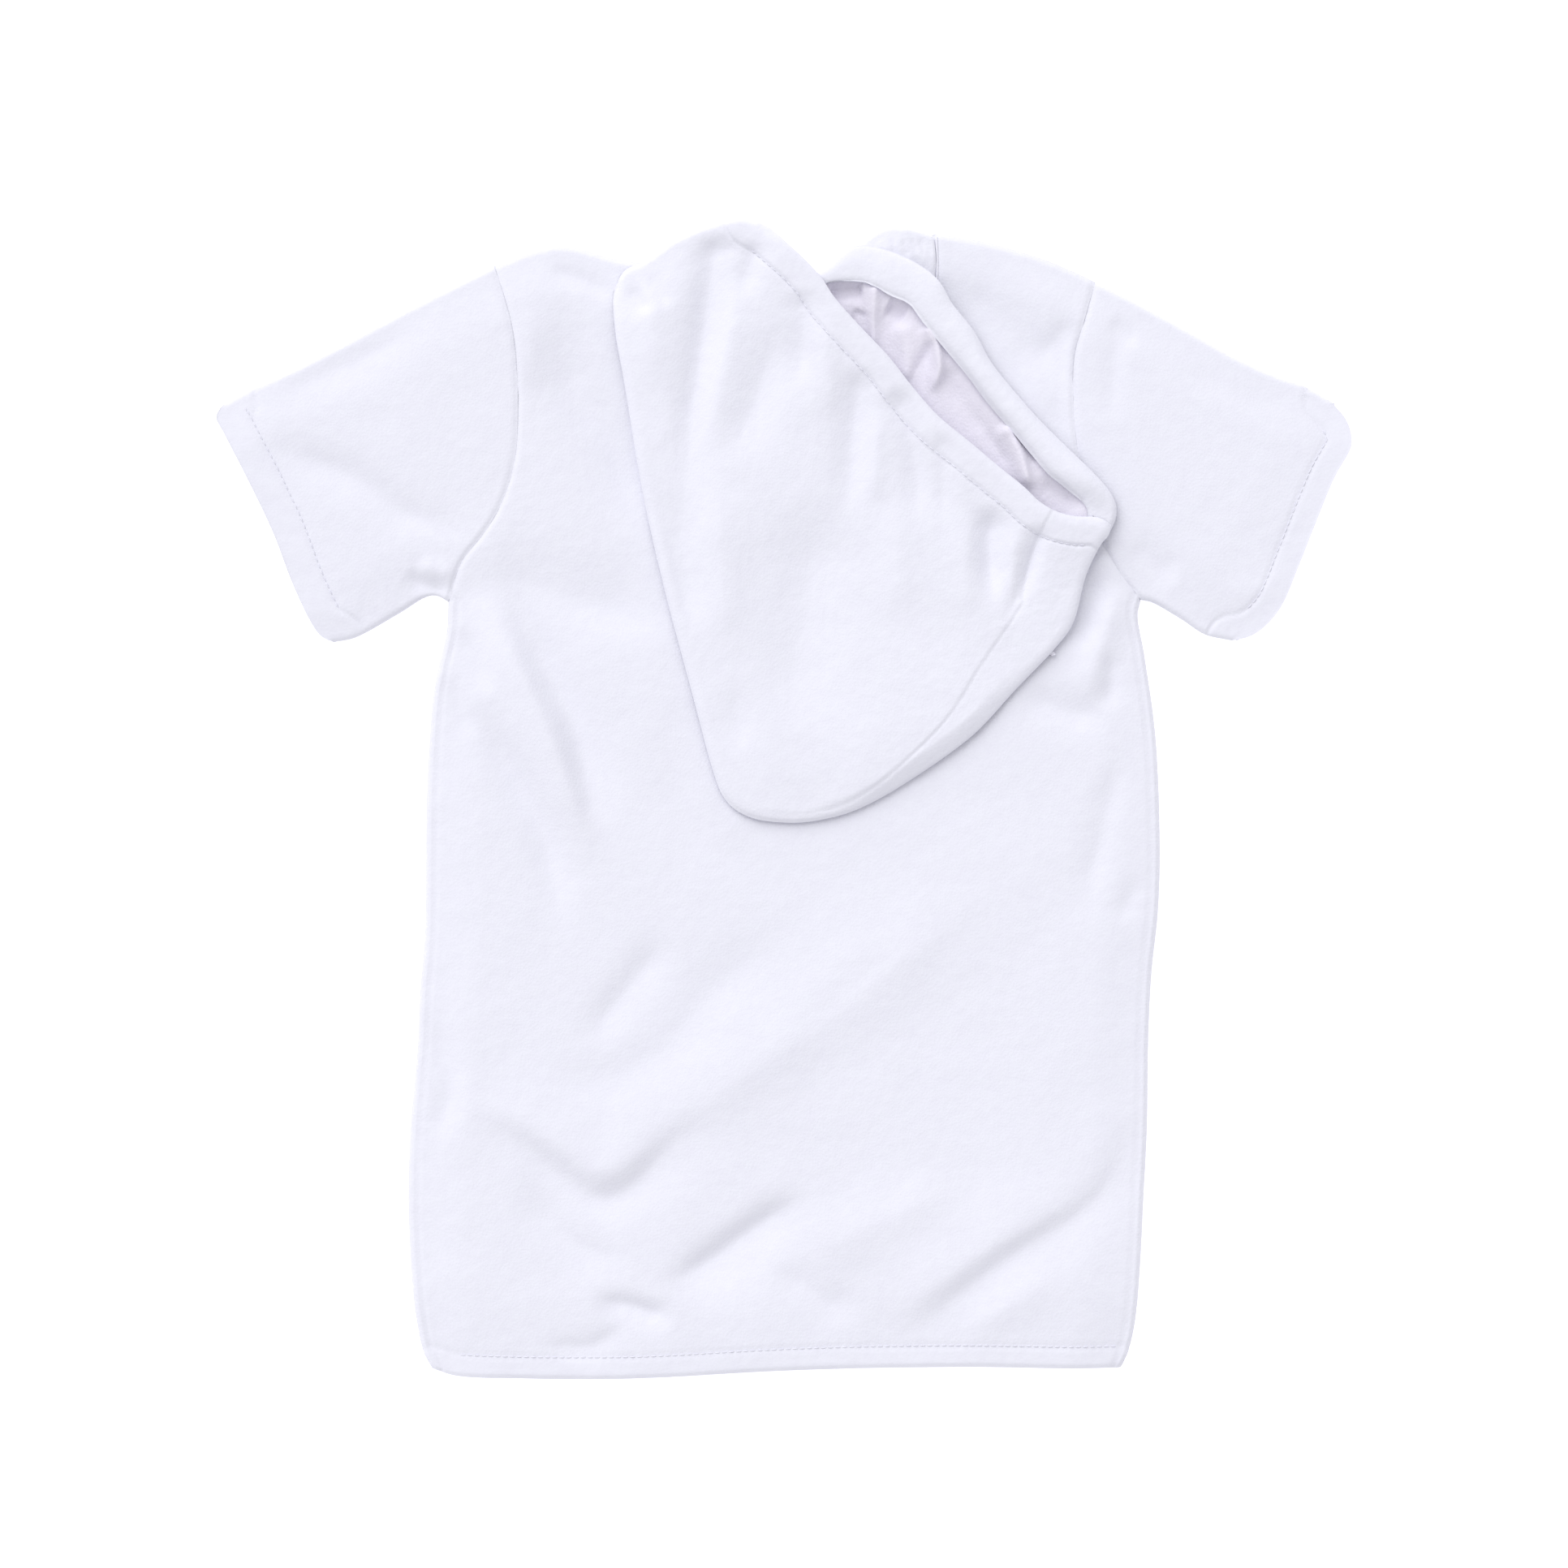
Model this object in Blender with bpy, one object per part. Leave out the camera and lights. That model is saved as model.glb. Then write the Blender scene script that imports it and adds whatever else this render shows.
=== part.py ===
"""Hooded towelling cover-up for a small child, lying face down with its hood folded onto the back.

The garment is a short-sleeved towelling body with a two-piece hood. It is modelled flat, as it
lies on a table: the front panel is underneath, the back panel above it, and the two halves of
the hood lie on the back panel. X runs across the garment, Y runs from the hem up to the neck,
Z is up, and the origin is under the middle of the garment. Lengths are in metres.
"""

import math

import bmesh
import bpy
from mathutils import Vector

mm = 0.001

# Cloth and clearances
clothThickness = 2.8 * mm  # towelling with its pile
bodyCavity = 6.2 * mm  # free height between front and back
hoodCavity = 6.4 * mm  # free height between the two hood halves
neighbourGap = 0.3 * mm  # clearance between pieces that meet
layerGap = 0.4 * mm  # clearance between the back and the hood
hemExtra = 0.8 * mm  # a hem is the folded cloth, so it is thicker
outlineStep = 13 * mm  # longest straight step along a curved outline

# Body, measured across and along the lying garment
chestWidth = 345 * mm  # between the two underarm points
waistWidth = 361 * mm
hipWidth = 363 * mm
hemWidth = 350 * mm
armpitHeight = 99 * mm  # above the middle of the garment
shoulderHeight = 260 * mm  # outer end of the shoulder
hemHeight = -282 * mm
bottomHemDepth = 11 * mm
bodyLean = 4.5 * mm  # how far the hem lies left, and the chest right
shoulderWidth = 297 * mm
armholeScoop = 25 * mm  # depth of the armhole curve inside its chord
neckWidth = 146 * mm
neckShift = 2 * mm  # the neck lies a little right of the middle
neckHeight = {"left": 268 * mm, "right": 279 * mm}
shoulderCrown = 5 * mm  # the shoulder line bows outward
backNeckDrop = 16 * mm
frontNeckDrop = 52 * mm
cornerRadius = 9 * mm
hemSag = 3 * mm  # the left half of the hem lies lower

# Sleeves
sleeves = {
    "left": {"topLength": 156 * mm, "slope": 27.4, "cuffWidth": 128 * mm, "cuffLean": 25.0},
    "right": {"topLength": 148 * mm, "slope": 29.8, "cuffWidth": 123 * mm, "cuffLean": 28.5},
}
sleeveHemDepth = 15 * mm
armholeTopDrop = {"left": -4 * mm, "right": 4 * mm}

# Hood, flat on the back: across and down are what it covers, shape points are shares of these
hoodAcross = 246 * mm
hoodDown = 296 * mm
hoodLeftX = -85 * mm
hoodTopY = 285.6 * mm
hoodHemDepth = 14 * mm
hoodRim = 5 * mm  # cloth outside the centre seam, at the back of the head
hoodTurn = 26 * mm  # cloth outside the centre seam, over the forehead

# Seams and stitching
seamWidth = 2.6 * mm
overlockWidth = 4 * mm
overlockThickness = 0.5 * mm
neckSeamRadius = 1.2 * mm
centreSeamWidth = 2 * mm
stitchRadius = 0.35 * mm
stitchInset = 1.2 * mm  # stitch row inside the inner edge of its hem
cuffWall = 6.5 * mm  # folded cloth at the two ends of the flattened cuff
floorGap = 0.2 * mm  # the neck seam stays off the table
overshoot = 40 * mm  # how far a cutter runs past an open end

hoodBackShape = [
    (0.263, 0.0), (0.148, 0.026), (0.060, 0.062), (0.004, 0.124), (0.024, 0.267), (0.062, 0.452),
    (0.106, 0.614), (0.159, 0.781), (0.211, 0.928), (0.280, 0.992), (0.400, 0.997), (0.592, 0.930),
    (0.719, 0.858), (0.881, 0.714), (0.948, 0.583), (0.977, 0.542),
]
hoodNearShape = [
    (0.263, 0.0), (0.335, 0.022), (0.405, 0.090), (0.449, 0.143), (0.561, 0.242), (0.659, 0.322),
    (0.823, 0.440), (0.906, 0.489), (0.977, 0.542),
]
hoodFarShape = [
    (0.540, 0.016), (0.647, 0.124), (0.719, 0.186), (0.808, 0.304), (0.912, 0.385), (0.987, 0.447),
    (1.0, 0.490), (0.977, 0.542),
]

backBottom = clothThickness + bodyCavity
backTop = backBottom + clothThickness
hoodBottom = backTop + layerGap
hoodLowerTop = hoodBottom + clothThickness
hoodUpperBottom = hoodLowerTop + hoodCavity
hoodUpperTop = hoodUpperBottom + clothThickness
halfGap = neighbourGap / 2


# ---------------------------------------------------------------- plan geometry

def smoothLine(points, step=outlineStep):
    """Points along a smooth curve through the given ones, no further apart than step."""
    pts = [Vector(p) for p in points]
    ends = [2 * pts[0] - pts[1]] + pts + [2 * pts[-1] - pts[-2]]
    line = []
    for i in range(1, len(ends) - 2):
        a, b, c, d = ends[i - 1], ends[i], ends[i + 1], ends[i + 2]
        count = max(1, math.ceil((c - b).length / step))
        for k in range(count):
            t = k / count
            line.append(0.5 * (2 * b + (c - a) * t + (2 * a - 5 * b + 4 * c - d) * t * t
                               + (3 * b - a - 3 * c + d) * t ** 3))
    line.append(pts[-1])
    return line


def normals(line):
    """Unit normals to the left of the line's direction."""
    out = []
    for i in range(len(line)):
        d = line[min(i + 1, len(line) - 1)] - line[max(i - 1, 0)]
        out.append(Vector((-d.y, d.x)).normalized())
    return out


def shifted(line, distance):
    """The line moved to its left by a distance, or by a list of distances."""
    if not isinstance(distance, list):
        distance = [distance] * len(line)
    return [p + n * d for p, n, d in zip(line, normals(line), distance)]


def crossing(a, b, c, d):
    """Where the line through a and b meets the line through c and d."""
    r, s = b - a, d - c
    t = (c - a).cross(s) / r.cross(s)
    return a + r * t


def rounded(corners, radius, steps=3):
    """A polygon with each corner turned into a short arc."""
    out = []
    for i, corner in enumerate(corners):
        before = (corners[i - 1] - corner).normalized()
        after = (corners[(i + 1) % len(corners)] - corner).normalized()
        start, end = corner + before * radius, corner + after * radius
        for k in range(steps + 1):
            t = k / steps
            out.append((1 - t) ** 2 * start + 2 * t * (1 - t) * corner + t * t * end)
    return out


def trimmed(line, start, end):
    """The line without a length at its start and a length at its end."""
    def cut(points, length):
        points = list(points)
        while (points[1] - points[0]).length < length:
            length -= (points[1] - points[0]).length
            points.pop(0)
        points[0] = points[0] + (points[1] - points[0]).normalized() * length
        return points
    shorter = cut(line, start) if start else list(line)
    return cut(shorter[::-1], end)[::-1] if end else shorter


def blendTable(table, y):
    """A width read from a table of (height, width) with smooth steps between its rows."""
    table = sorted(table)
    for (y0, w0), (y1, w1) in zip(table, table[1:]):
        if y <= y1:
            t = min(max((y - y0) / (y1 - y0), 0), 1)
            return w0 + (w1 - w0) * t * t * (3 - 2 * t)
    return table[-1][1]


def sideX(side, y):
    """Silhouette of the body at a height: left is negative."""
    sign = -1 if side == "left" else 1
    bodyDrop = armpitHeight - hemHeight
    half = blendTable([
        (armpitHeight, chestWidth / 2), (armpitHeight - 0.22 * bodyDrop, waistWidth / 2),
        (armpitHeight - 0.78 * bodyDrop, hipWidth / 2), (hemHeight, hemWidth / 2),
    ], y)
    lean = blendTable([(hemHeight, -bodyLean), (armpitHeight - 0.3 * bodyDrop, bodyLean)], y)
    return lean + sign * half


def armholeEnds(side):
    sign = -1 if side == "left" else 1
    top = Vector((sign * shoulderWidth / 2 + bodyLean, shoulderHeight - armholeTopDrop[side]))
    return top, Vector((sideX(side, armpitHeight), armpitHeight))


def armholeLine(side, start=0.0, end=1.0):
    """The curved armhole, from the shoulder down to the underarm."""
    top, bottom = armholeEnds(side)
    inward = Vector((1, 0)) if side == "left" else Vector((-1, 0))
    line = []
    count = 14
    for k in range(count + 1):
        t = start + (end - start) * k / count
        line.append(top.lerp(bottom, t) + inward * armholeScoop * math.sin(math.pi * t ** 1.27))
    return line


def neckPoint(side):
    sign = -1 if side == "left" else 1
    return Vector((neckShift + sign * neckWidth / 2, neckHeight[side]))


def shoulderLine(side):
    """From the outer end of the shoulder to the neck."""
    top = armholeEnds(side)[0]
    neck = neckPoint(side)
    middle = top.lerp(neck, 0.5) + Vector((0, shoulderCrown))
    return smoothLine([top, middle, neck])


def neckLine(drop):
    """Neckline from left to right, as deep as drop below the neck points."""
    left, right = neckPoint("left"), neckPoint("right")
    line = []
    count = 12
    for k in range(count + 1):
        t = k / count
        line.append(left.lerp(right, t) - Vector((0, drop * math.sin(math.pi * t) ** 0.8)))
    return line


def sideLine(side, low, high):
    """Body silhouette between two heights, upward."""
    count = max(2, math.ceil((high - low) / (2 * outlineStep)))
    heights = [low + (high - low) * k / count for k in range(count + 1)]
    return [Vector((sideX(side, y), y)) for y in heights]


def hemTop():
    return hemHeight + bottomHemDepth


def bottomLine():
    """Lower edge of the garment, left to right."""
    left, right = sideX("left", hemHeight), sideX("right", hemHeight)
    return smoothLine([(left, hemHeight), (left * 0.5, hemHeight - hemSag), (0, hemHeight),
                       (right * 0.5, hemHeight + 0.5 * hemSag), (right, hemHeight)], 2 * outlineStep)


def torsoOutline(neckDrop):
    """Outline of a body panel above its hem, counter-clockwise from the lower right."""
    low = hemTop() + halfGap
    rightArm = shifted(armholeLine("right"), -halfGap)[::-1]
    leftArm = shifted(armholeLine("left"), halfGap)
    rightArm[0].y = leftArm[-1].y = armpitHeight - 2 * halfGap
    outline = sideLine("right", low, armpitHeight - 4 * halfGap) + rightArm
    outline += shoulderLine("right")[1:] + neckLine(neckDrop)[::-1][1:-1]
    outline += shoulderLine("left")[::-1][:-1] + leftArm
    outline += sideLine("left", low, armpitHeight - 4 * halfGap)[::-1]
    return outline


def hemOutline():
    """Outline of the bottom hem, with its outer corners rounded."""
    top = hemTop() - halfGap
    edge = bottomLine()
    inner = [edge[0] + Vector((cornerRadius, 0)), edge[-1] - Vector((cornerRadius, 0))]
    bottom = [p for p in edge if inner[0].x < p.x < inner[1].x]
    left = Vector((sideX("left", top), top))
    right = Vector((sideX("right", top), top))
    lowLeft = rounded([left, Vector((edge[0].x, edge[0].y)), bottom[0]], cornerRadius * 0.9)[4:8]
    lowRight = rounded([bottom[-1], Vector((edge[-1].x, edge[-1].y)), right], cornerRadius * 0.9)[4:8]
    return [left] + lowLeft + bottom + lowRight + [right]


def sleeveCorners(side):
    """Fold line top, cuff top, cuff bottom and underarm of a sleeve."""
    sign = -1 if side == "left" else 1
    lie = sleeves[side]
    top, armpit = armholeEnds(side)
    slope, lean = math.radians(lie["slope"]), math.radians(lie["cuffLean"])
    cuffTop = top + lie["topLength"] * Vector((sign * math.cos(slope), -math.sin(slope)))
    cuffBottom = cuffTop + lie["cuffWidth"] * Vector((-sign * math.sin(lean), -math.cos(lean)))
    return top, cuffTop, cuffBottom, armpit


def insetLine(a, b, towards, distance):
    """The line through a and b, moved towards a point by a distance."""
    along = (b - a).normalized()
    normal = Vector((-along.y, along.x))
    if normal.dot(towards - a) < 0:
        normal = -normal
    return a + normal * distance, b + normal * distance


def hoodPoints(shape):
    return [(hoodLeftX + u * hoodAcross, hoodTopY - v * hoodDown) for u, v in shape]


def hoodBackLine():
    """Outer edge of the lying hood: neck, back of the head, crown, forehead."""
    return smoothLine(hoodPoints(hoodBackShape))


def hoodSeamLine(extra=0.0):
    """Centre seam, inside the outer edge: close to it behind the head, further in at the front."""
    line = hoodBackLine()
    low = min(range(len(line)), key=lambda i: line[i].y)
    inset = []
    for i in range(len(line)):
        t = min(max((i - low) / (len(line) - 1 - low), 0), 1)
        inset.append(hoodRim + (hoodTurn - hoodRim) * math.sin(math.pi / 2 * t) + extra)
    return shifted(line, inset)


# ---------------------------------------------------------------- solids

def material(name, color, roughness):
    found = bpy.data.materials.get(name)
    if found:
        return found
    made = bpy.data.materials.new(name)
    made.use_nodes = True
    shader = made.node_tree.nodes["Principled BSDF"]
    shader.inputs["Base Color"].default_value = (*color, 1)
    shader.inputs["Roughness"].default_value = roughness
    shader.inputs["Metallic"].default_value = 0.0
    return made


def finish(obj, look):
    color = {"towelling": (0.80, 0.81, 0.90), "hem": (0.83, 0.84, 0.92), "thread": (0.72, 0.70, 0.78)}
    obj.data.materials.append(material(obj.name + "_" + look, color[look], 0.9))
    return obj


def link(name, mesh, pivot):
    obj = bpy.data.objects.new(name, mesh)
    bpy.context.scene.collection.objects.link(obj)
    if pivot:
        obj.parent = pivot
        obj.matrix_parent_inverse = pivot.matrix_world.inverted()
    return obj


def plateMesh(name, outline, low, high):
    """A flat plate: the outline filled and extruded upward."""
    bm = bmesh.new()
    verts = [bm.verts.new((p.x, p.y, low)) for p in outline]
    face = bm.faces.new(verts)
    top = bmesh.ops.extrude_face_region(bm, geom=[face])["geom"]
    lift = [v for v in top if isinstance(v, bmesh.types.BMVert)]
    bmesh.ops.translate(bm, verts=lift, vec=(0, 0, high - low))
    bmesh.ops.recalc_face_normals(bm, faces=bm.faces)
    mesh = bpy.data.meshes.new(name)
    bm.to_mesh(mesh)
    bm.free()
    return mesh


def plate(name, outline, low, high, look="towelling", pivot=None):
    return finish(link(name, plateMesh(name, outline, low, high), pivot), look)


def boolean(obj, name, outline, low, high, operation):
    """Cut the outline out of an object, or join it on."""
    other = link(name, plateMesh(name, outline, low, high), obj.parent)
    other.hide_render = True
    other.display_type = "WIRE"
    step = obj.modifiers.new(operation.lower(), "BOOLEAN")
    step.operation = operation
    step.object = other
    step.solver = "EXACT"
    return obj


def strip(name, line, inner, outer, low, high, look="thread", pivot=None):
    """A flat strip beside a line, between two distances to its left."""
    outline = shifted(line, inner) + shifted(line, outer)[::-1]
    return plate(name, outline, low, high, look, pivot)


def cord(name, points, radius, cyclic=False, pivot=None):
    """A thin round thread along the points."""
    curve = bpy.data.curves.new(name, "CURVE")
    curve.dimensions = "3D"
    curve.bevel_depth = radius
    curve.bevel_resolution = 1
    curve.render_resolution_u = 0
    curve.use_fill_caps = not cyclic
    spline = curve.splines.new("POLY")
    spline.points.add(len(points) - 1)
    for place, p in zip(spline.points, points):
        place.co = (*p, 1)
    spline.use_cyclic_u = cyclic
    return finish(link(name, curve, pivot), "thread")


def seamRing(name, line):
    """Overlocked allowance inside an armhole: along the front, up, along the back and down."""
    low, high = clothThickness + neighbourGap, backBottom - neighbourGap
    inner = trimmed(line, overlockThickness, overlockThickness)
    bm = bmesh.new()

    def loop(points, bottom, top, side):
        places = [(p, bottom) for p in points] + [(p, top) for p in points[::-1]]
        flat = shifted(points, side)
        flat = flat + flat[::-1]
        return [bm.verts.new((q.x, q.y, z)) for q, (_, z) in zip(flat, places)]

    half = overlockWidth / 2
    rings = []
    for side in (-half, half):
        outside = loop(line, low, high, side)
        inside = loop(inner, low + overlockThickness, high - overlockThickness, side)
        rings.append((outside, inside))
    count = len(rings[0][0])
    for i in range(count):
        j = (i + 1) % count
        bm.faces.new([rings[0][0][i], rings[0][0][j], rings[1][0][j], rings[1][0][i]])
        bm.faces.new([rings[0][1][i], rings[1][1][i], rings[1][1][j], rings[0][1][j]])
        bm.faces.new([rings[0][0][i], rings[0][1][i], rings[0][1][j], rings[0][0][j]])
        bm.faces.new([rings[1][0][i], rings[1][0][j], rings[1][1][j], rings[1][1][i]])
    bmesh.ops.recalc_face_normals(bm, faces=bm.faces)
    mesh = bpy.data.meshes.new(name)
    bm.to_mesh(mesh)
    bm.free()
    return finish(link(name, mesh, None), "thread")


def pivotEmpty(name, place):
    empty = bpy.data.objects.new(name, None)
    bpy.context.scene.collection.objects.link(empty)
    empty.location = place
    bpy.context.view_layer.update()
    return empty


# ---------------------------------------------------------------- sub-assemblies

def buildBody():
    plate("front_panel", torsoOutline(frontNeckDrop), 0, clothThickness)
    plate("back_panel", torsoOutline(backNeckDrop), backBottom, backTop)
    plate("front_hem", hemOutline(), 0, clothThickness + hemExtra, "hem")
    plate("back_hem", hemOutline(), backBottom, backTop + hemExtra, "hem")

    low, high = clothThickness + neighbourGap, backBottom - neighbourGap
    for side, turn in (("left", -1), ("right", 1)):
        sideRun = sideLine(side, hemTop() + 2 * neighbourGap, armpitHeight - 4 * neighbourGap)
        strip(side + "_side_seam", sideRun, turn * neighbourGap,
              turn * (neighbourGap + seamWidth), low, high)
        shoulder = trimmed(shoulderLine(side), 10 * mm, 4 * mm)
        strip(side + "_shoulder_seam", shoulder, turn * neighbourGap,
              turn * (neighbourGap + seamWidth), low, high)
        ring = armholeLine(side, 0.10, 0.90)
        seamRing(side + "_armhole_seam", ring)

    beadLow, beadHigh = neckSeamRadius + floorGap, backTop - neckSeamRadius - floorGap
    clear = neckSeamRadius + neighbourGap

    def neckRun(drop, height):
        run = shifted(neckLine(drop), clear)[1:-1]
        beside = Vector((1.1 * clear, 1.3 * clear))
        run.insert(0, neckPoint("left") + beside)
        run.append(neckPoint("right") + Vector((-beside.x, beside.y)))
        return [Vector((p.x, p.y, height)) for p in run]

    front, back = neckRun(frontNeckDrop, beadLow), neckRun(backNeckDrop, beadHigh)
    cord("neck_seam", front + back[::-1], neckSeamRadius, cyclic=True)

    row = [Vector((p.x, hemTop() - stitchInset, backTop + hemExtra + neighbourGap + stitchRadius))
           for p in bottomLine()[1:-1]]
    cord("bottom_hem_stitching", row, stitchRadius)


def buildSleeveHead(side):
    """Cloth between the curved armhole and the straight line that the sleeve folds on."""
    turn = 1 if side == "left" else -1
    top, armpit = armholeEnds(side)

    def outline(start, end, armGap, foldGap):
        arm = shifted(armholeLine(side, start, end), -turn * armGap)
        shift = Vector((turn * foldGap, 0))
        return arm + [top.lerp(armpit, end) + shift, top.lerp(armpit, start) + shift]

    head = plate(side + "_sleeve_head", outline(0.05, 0.97, halfGap, halfGap), 0, backTop)
    boolean(head, side + "_head_pocket", outline(0.085, 0.93, -8 * mm, -8 * mm),
            clothThickness, backBottom, "DIFFERENCE")


def buildSleeve(side, pivot):
    top, cuffTop, cuffBottom, armpit = sleeveCorners(side)
    middle = (top + cuffBottom) / 2
    foldTop, foldBottom = insetLine(top, armpit, middle, halfGap)
    hemA, hemB = insetLine(cuffTop, cuffBottom, middle, sleeveHemDepth)
    bodyA, bodyB = insetLine(hemA, hemB, middle, halfGap)
    ringA, ringB = insetLine(hemA, hemB, cuffTop, halfGap)

    outline = [
        crossing(foldTop, foldBottom, top, cuffTop), crossing(bodyA, bodyB, top, cuffTop),
        crossing(bodyA, bodyB, armpit, cuffBottom), crossing(foldTop, foldBottom, armpit, cuffBottom),
    ]
    sleeve = plate(side + "_sleeve", outline, 0, backTop, pivot=pivot)
    innerA, innerB = insetLine(top, cuffTop, middle, clothThickness)
    along = (cuffTop - top).normalized() * overshoot
    down = innerA - top
    reach = down.normalized() * (outline[0] - outline[3]).length * 2
    pocket = [innerA - along, innerB + along, innerB + along + reach, innerA - along + reach]
    boolean(sleeve, side + "_sleeve_pocket", pocket, clothThickness, backBottom, "DIFFERENCE")

    corner = [crossing(ringA, ringB, top, cuffTop), cuffTop, cuffBottom,
              crossing(ringA, ringB, armpit, cuffBottom)]
    outer = [corner[0]] + rounded(corner, cornerRadius * 0.8)[4:12] + [corner[3]]
    hem = plate(side + "_sleeve_hem", outer, 0, backTop + hemExtra / 2, "hem", pivot)
    across = (cuffBottom - cuffTop).normalized()
    outward = (ringA - bodyA).normalized()
    holeA, holeB = corner[0] + across * cuffWall, corner[3] - across * cuffWall
    through = outward * (sleeveHemDepth + overshoot)
    back = outward * cornerRadius
    hole = [holeA - back, holeA + through, holeB + through, holeB - back]
    boolean(hem, side + "_cuff_hole", hole, clothThickness + hemExtra, backBottom, "DIFFERENCE")

    low, high = clothThickness + neighbourGap, backBottom - neighbourGap
    seamA, seamB = insetLine(outline[3], outline[2], middle, neighbourGap)
    seamC, seamD = insetLine(outline[3], outline[2], middle, neighbourGap + seamWidth)
    run = (seamB - seamA).normalized() * 2 * mm
    plate(side + "_underarm_seam", [seamA + run, seamB - run, seamD - run, seamC + run],
          low, high, "thread", pivot)

    height = backTop + hemExtra / 2 + neighbourGap + stitchRadius
    rowA, rowB = insetLine(ringA, ringB, cuffTop, stitchInset)
    start = crossing(rowA, rowB, top, cuffTop) + across * 6 * mm
    end = crossing(rowA, rowB, armpit, cuffBottom) - across * 6 * mm
    row = [Vector((*start.lerp(end, k / 8), height)) for k in range(9)]
    cord(side + "_sleeve_hem_stitching", row, stitchRadius, pivot=pivot)


def buildHood(pivot):
    back = hoodBackLine()
    near = smoothLine(hoodPoints(hoodNearShape))
    far = smoothLine(hoodPoints(hoodFarShape))

    farInner = shifted(far, -hoodHemDepth)
    farHem = trimmed(far, 0, 9 * mm) + trimmed(farInner, 0, 13 * mm)[::-1]
    plate("hood_right_hem", farHem, hoodBottom, hoodLowerTop + hemExtra, "hem", pivot)
    lowerEdge = trimmed(shifted(far, -hoodHemDepth - neighbourGap), 0, 13 * mm)
    neckRun = [p for p in smoothLine(hoodPoints(hoodNearShape[:3])) if p.x < lowerEdge[0].x - 8 * mm]
    lower = back + lowerEdge[::-1] + neckRun[::-1][:-1]
    panel = plate("hood_right_panel", lower, hoodBottom, hoodLowerTop, pivot=pivot)
    clear = centreSeamWidth / 2 + neighbourGap
    seam = hoodSeamLine()
    rimOuter = trimmed(shifted(back, halfGap), 24 * mm, 34 * mm)
    rimInner = trimmed(hoodSeamLine(-clear), 24 * mm, 30 * mm)
    boolean(panel, "hood_rim", rimOuter + rimInner[::-1], hoodBottom + clothThickness / 2,
            hoodUpperTop, "UNION")

    nearInner = shifted(near, -hoodHemDepth)
    hemOuter = trimmed(near, 6 * mm, 24 * mm)
    hemInner = trimmed(nearInner, 22 * mm, 20 * mm)
    plate("hood_left_hem", hemOuter + hemInner[::-1], hoodUpperBottom - hemExtra,
          hoodUpperTop + hemExtra, "hem", pivot)
    upperInner = trimmed(shifted(near, -hoodHemDepth - neighbourGap), 24 * mm, 32 * mm)
    upperBack = trimmed(hoodSeamLine(clear), 24 * mm, 26 * mm)
    plate("hood_left_panel", upperBack + upperInner[::-1], hoodUpperBottom, hoodUpperTop, pivot=pivot)
    strip("hood_centre_seam", trimmed(seam, 26 * mm, 30 * mm), -centreSeamWidth / 2,
          centreSeamWidth / 2, hoodUpperBottom, hoodUpperTop, "thread", pivot)

    height = hoodUpperTop + hemExtra + neighbourGap + stitchRadius
    stitchLine = trimmed(shifted(near, -hoodHemDepth + stitchInset), 24 * mm, 26 * mm)
    cord("hood_hem_stitching", [Vector((*p, height)) for p in stitchLine], stitchRadius, pivot=pivot)


def main():
    for obj in list(bpy.data.objects):
        bpy.data.objects.remove(obj, do_unlink=True)
    buildBody()
    hinge = backTop + 0.2 * mm
    for side in ("left", "right"):
        buildSleeveHead(side)
        top, armpit = armholeEnds(side)
        pivot = pivotEmpty(side + "_sleeve_fold", (*top.lerp(armpit, 0.5), backTop + hemExtra))
        buildSleeve(side, pivot)
    buildHood(pivotEmpty("hood_fold", (0, hoodTopY, hinge)))


main()
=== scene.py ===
import bpy
import numpy as np
from mathutils.kdtree import KDTree
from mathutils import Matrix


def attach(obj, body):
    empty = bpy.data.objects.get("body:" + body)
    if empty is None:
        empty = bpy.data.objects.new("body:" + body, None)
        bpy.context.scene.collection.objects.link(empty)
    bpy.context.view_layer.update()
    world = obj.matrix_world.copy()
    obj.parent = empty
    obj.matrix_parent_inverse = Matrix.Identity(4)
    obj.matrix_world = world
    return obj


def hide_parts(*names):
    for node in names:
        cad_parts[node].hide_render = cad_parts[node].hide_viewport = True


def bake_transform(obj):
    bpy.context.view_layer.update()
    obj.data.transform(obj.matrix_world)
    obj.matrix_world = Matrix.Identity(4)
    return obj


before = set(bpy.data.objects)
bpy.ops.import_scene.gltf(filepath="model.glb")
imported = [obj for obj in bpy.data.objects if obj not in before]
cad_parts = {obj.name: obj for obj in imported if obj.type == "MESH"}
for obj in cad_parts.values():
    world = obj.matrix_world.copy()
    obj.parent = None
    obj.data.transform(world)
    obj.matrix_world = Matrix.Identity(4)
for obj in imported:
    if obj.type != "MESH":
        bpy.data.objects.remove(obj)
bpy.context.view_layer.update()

mm = 0.001
print("frame loaded:", len(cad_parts), "nodes")


# ---- lines and grids, all in millimetres on the table

# a smooth line through a few points, as evenly spaced samples
def smoothLine(points, count):
    pts = np.array(points, float)
    ends = np.vstack([2 * pts[0] - pts[1], pts, 2 * pts[-1] - pts[-2]])
    t = np.linspace(0, 1, 16, endpoint=False)[:, None]  # steps from one point to the next
    runs = []
    for a, b, c, d in zip(ends, ends[1:], ends[2:], ends[3:]):
        runs.append(0.5 * (2 * b + (c - a) * t + (2 * a - 5 * b + 4 * c - d) * t ** 2
                           + (3 * b - a - 3 * c + d) * t ** 3))
    fine = np.vstack(runs + [pts[-1:]])
    return evenly(fine, count)


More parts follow.
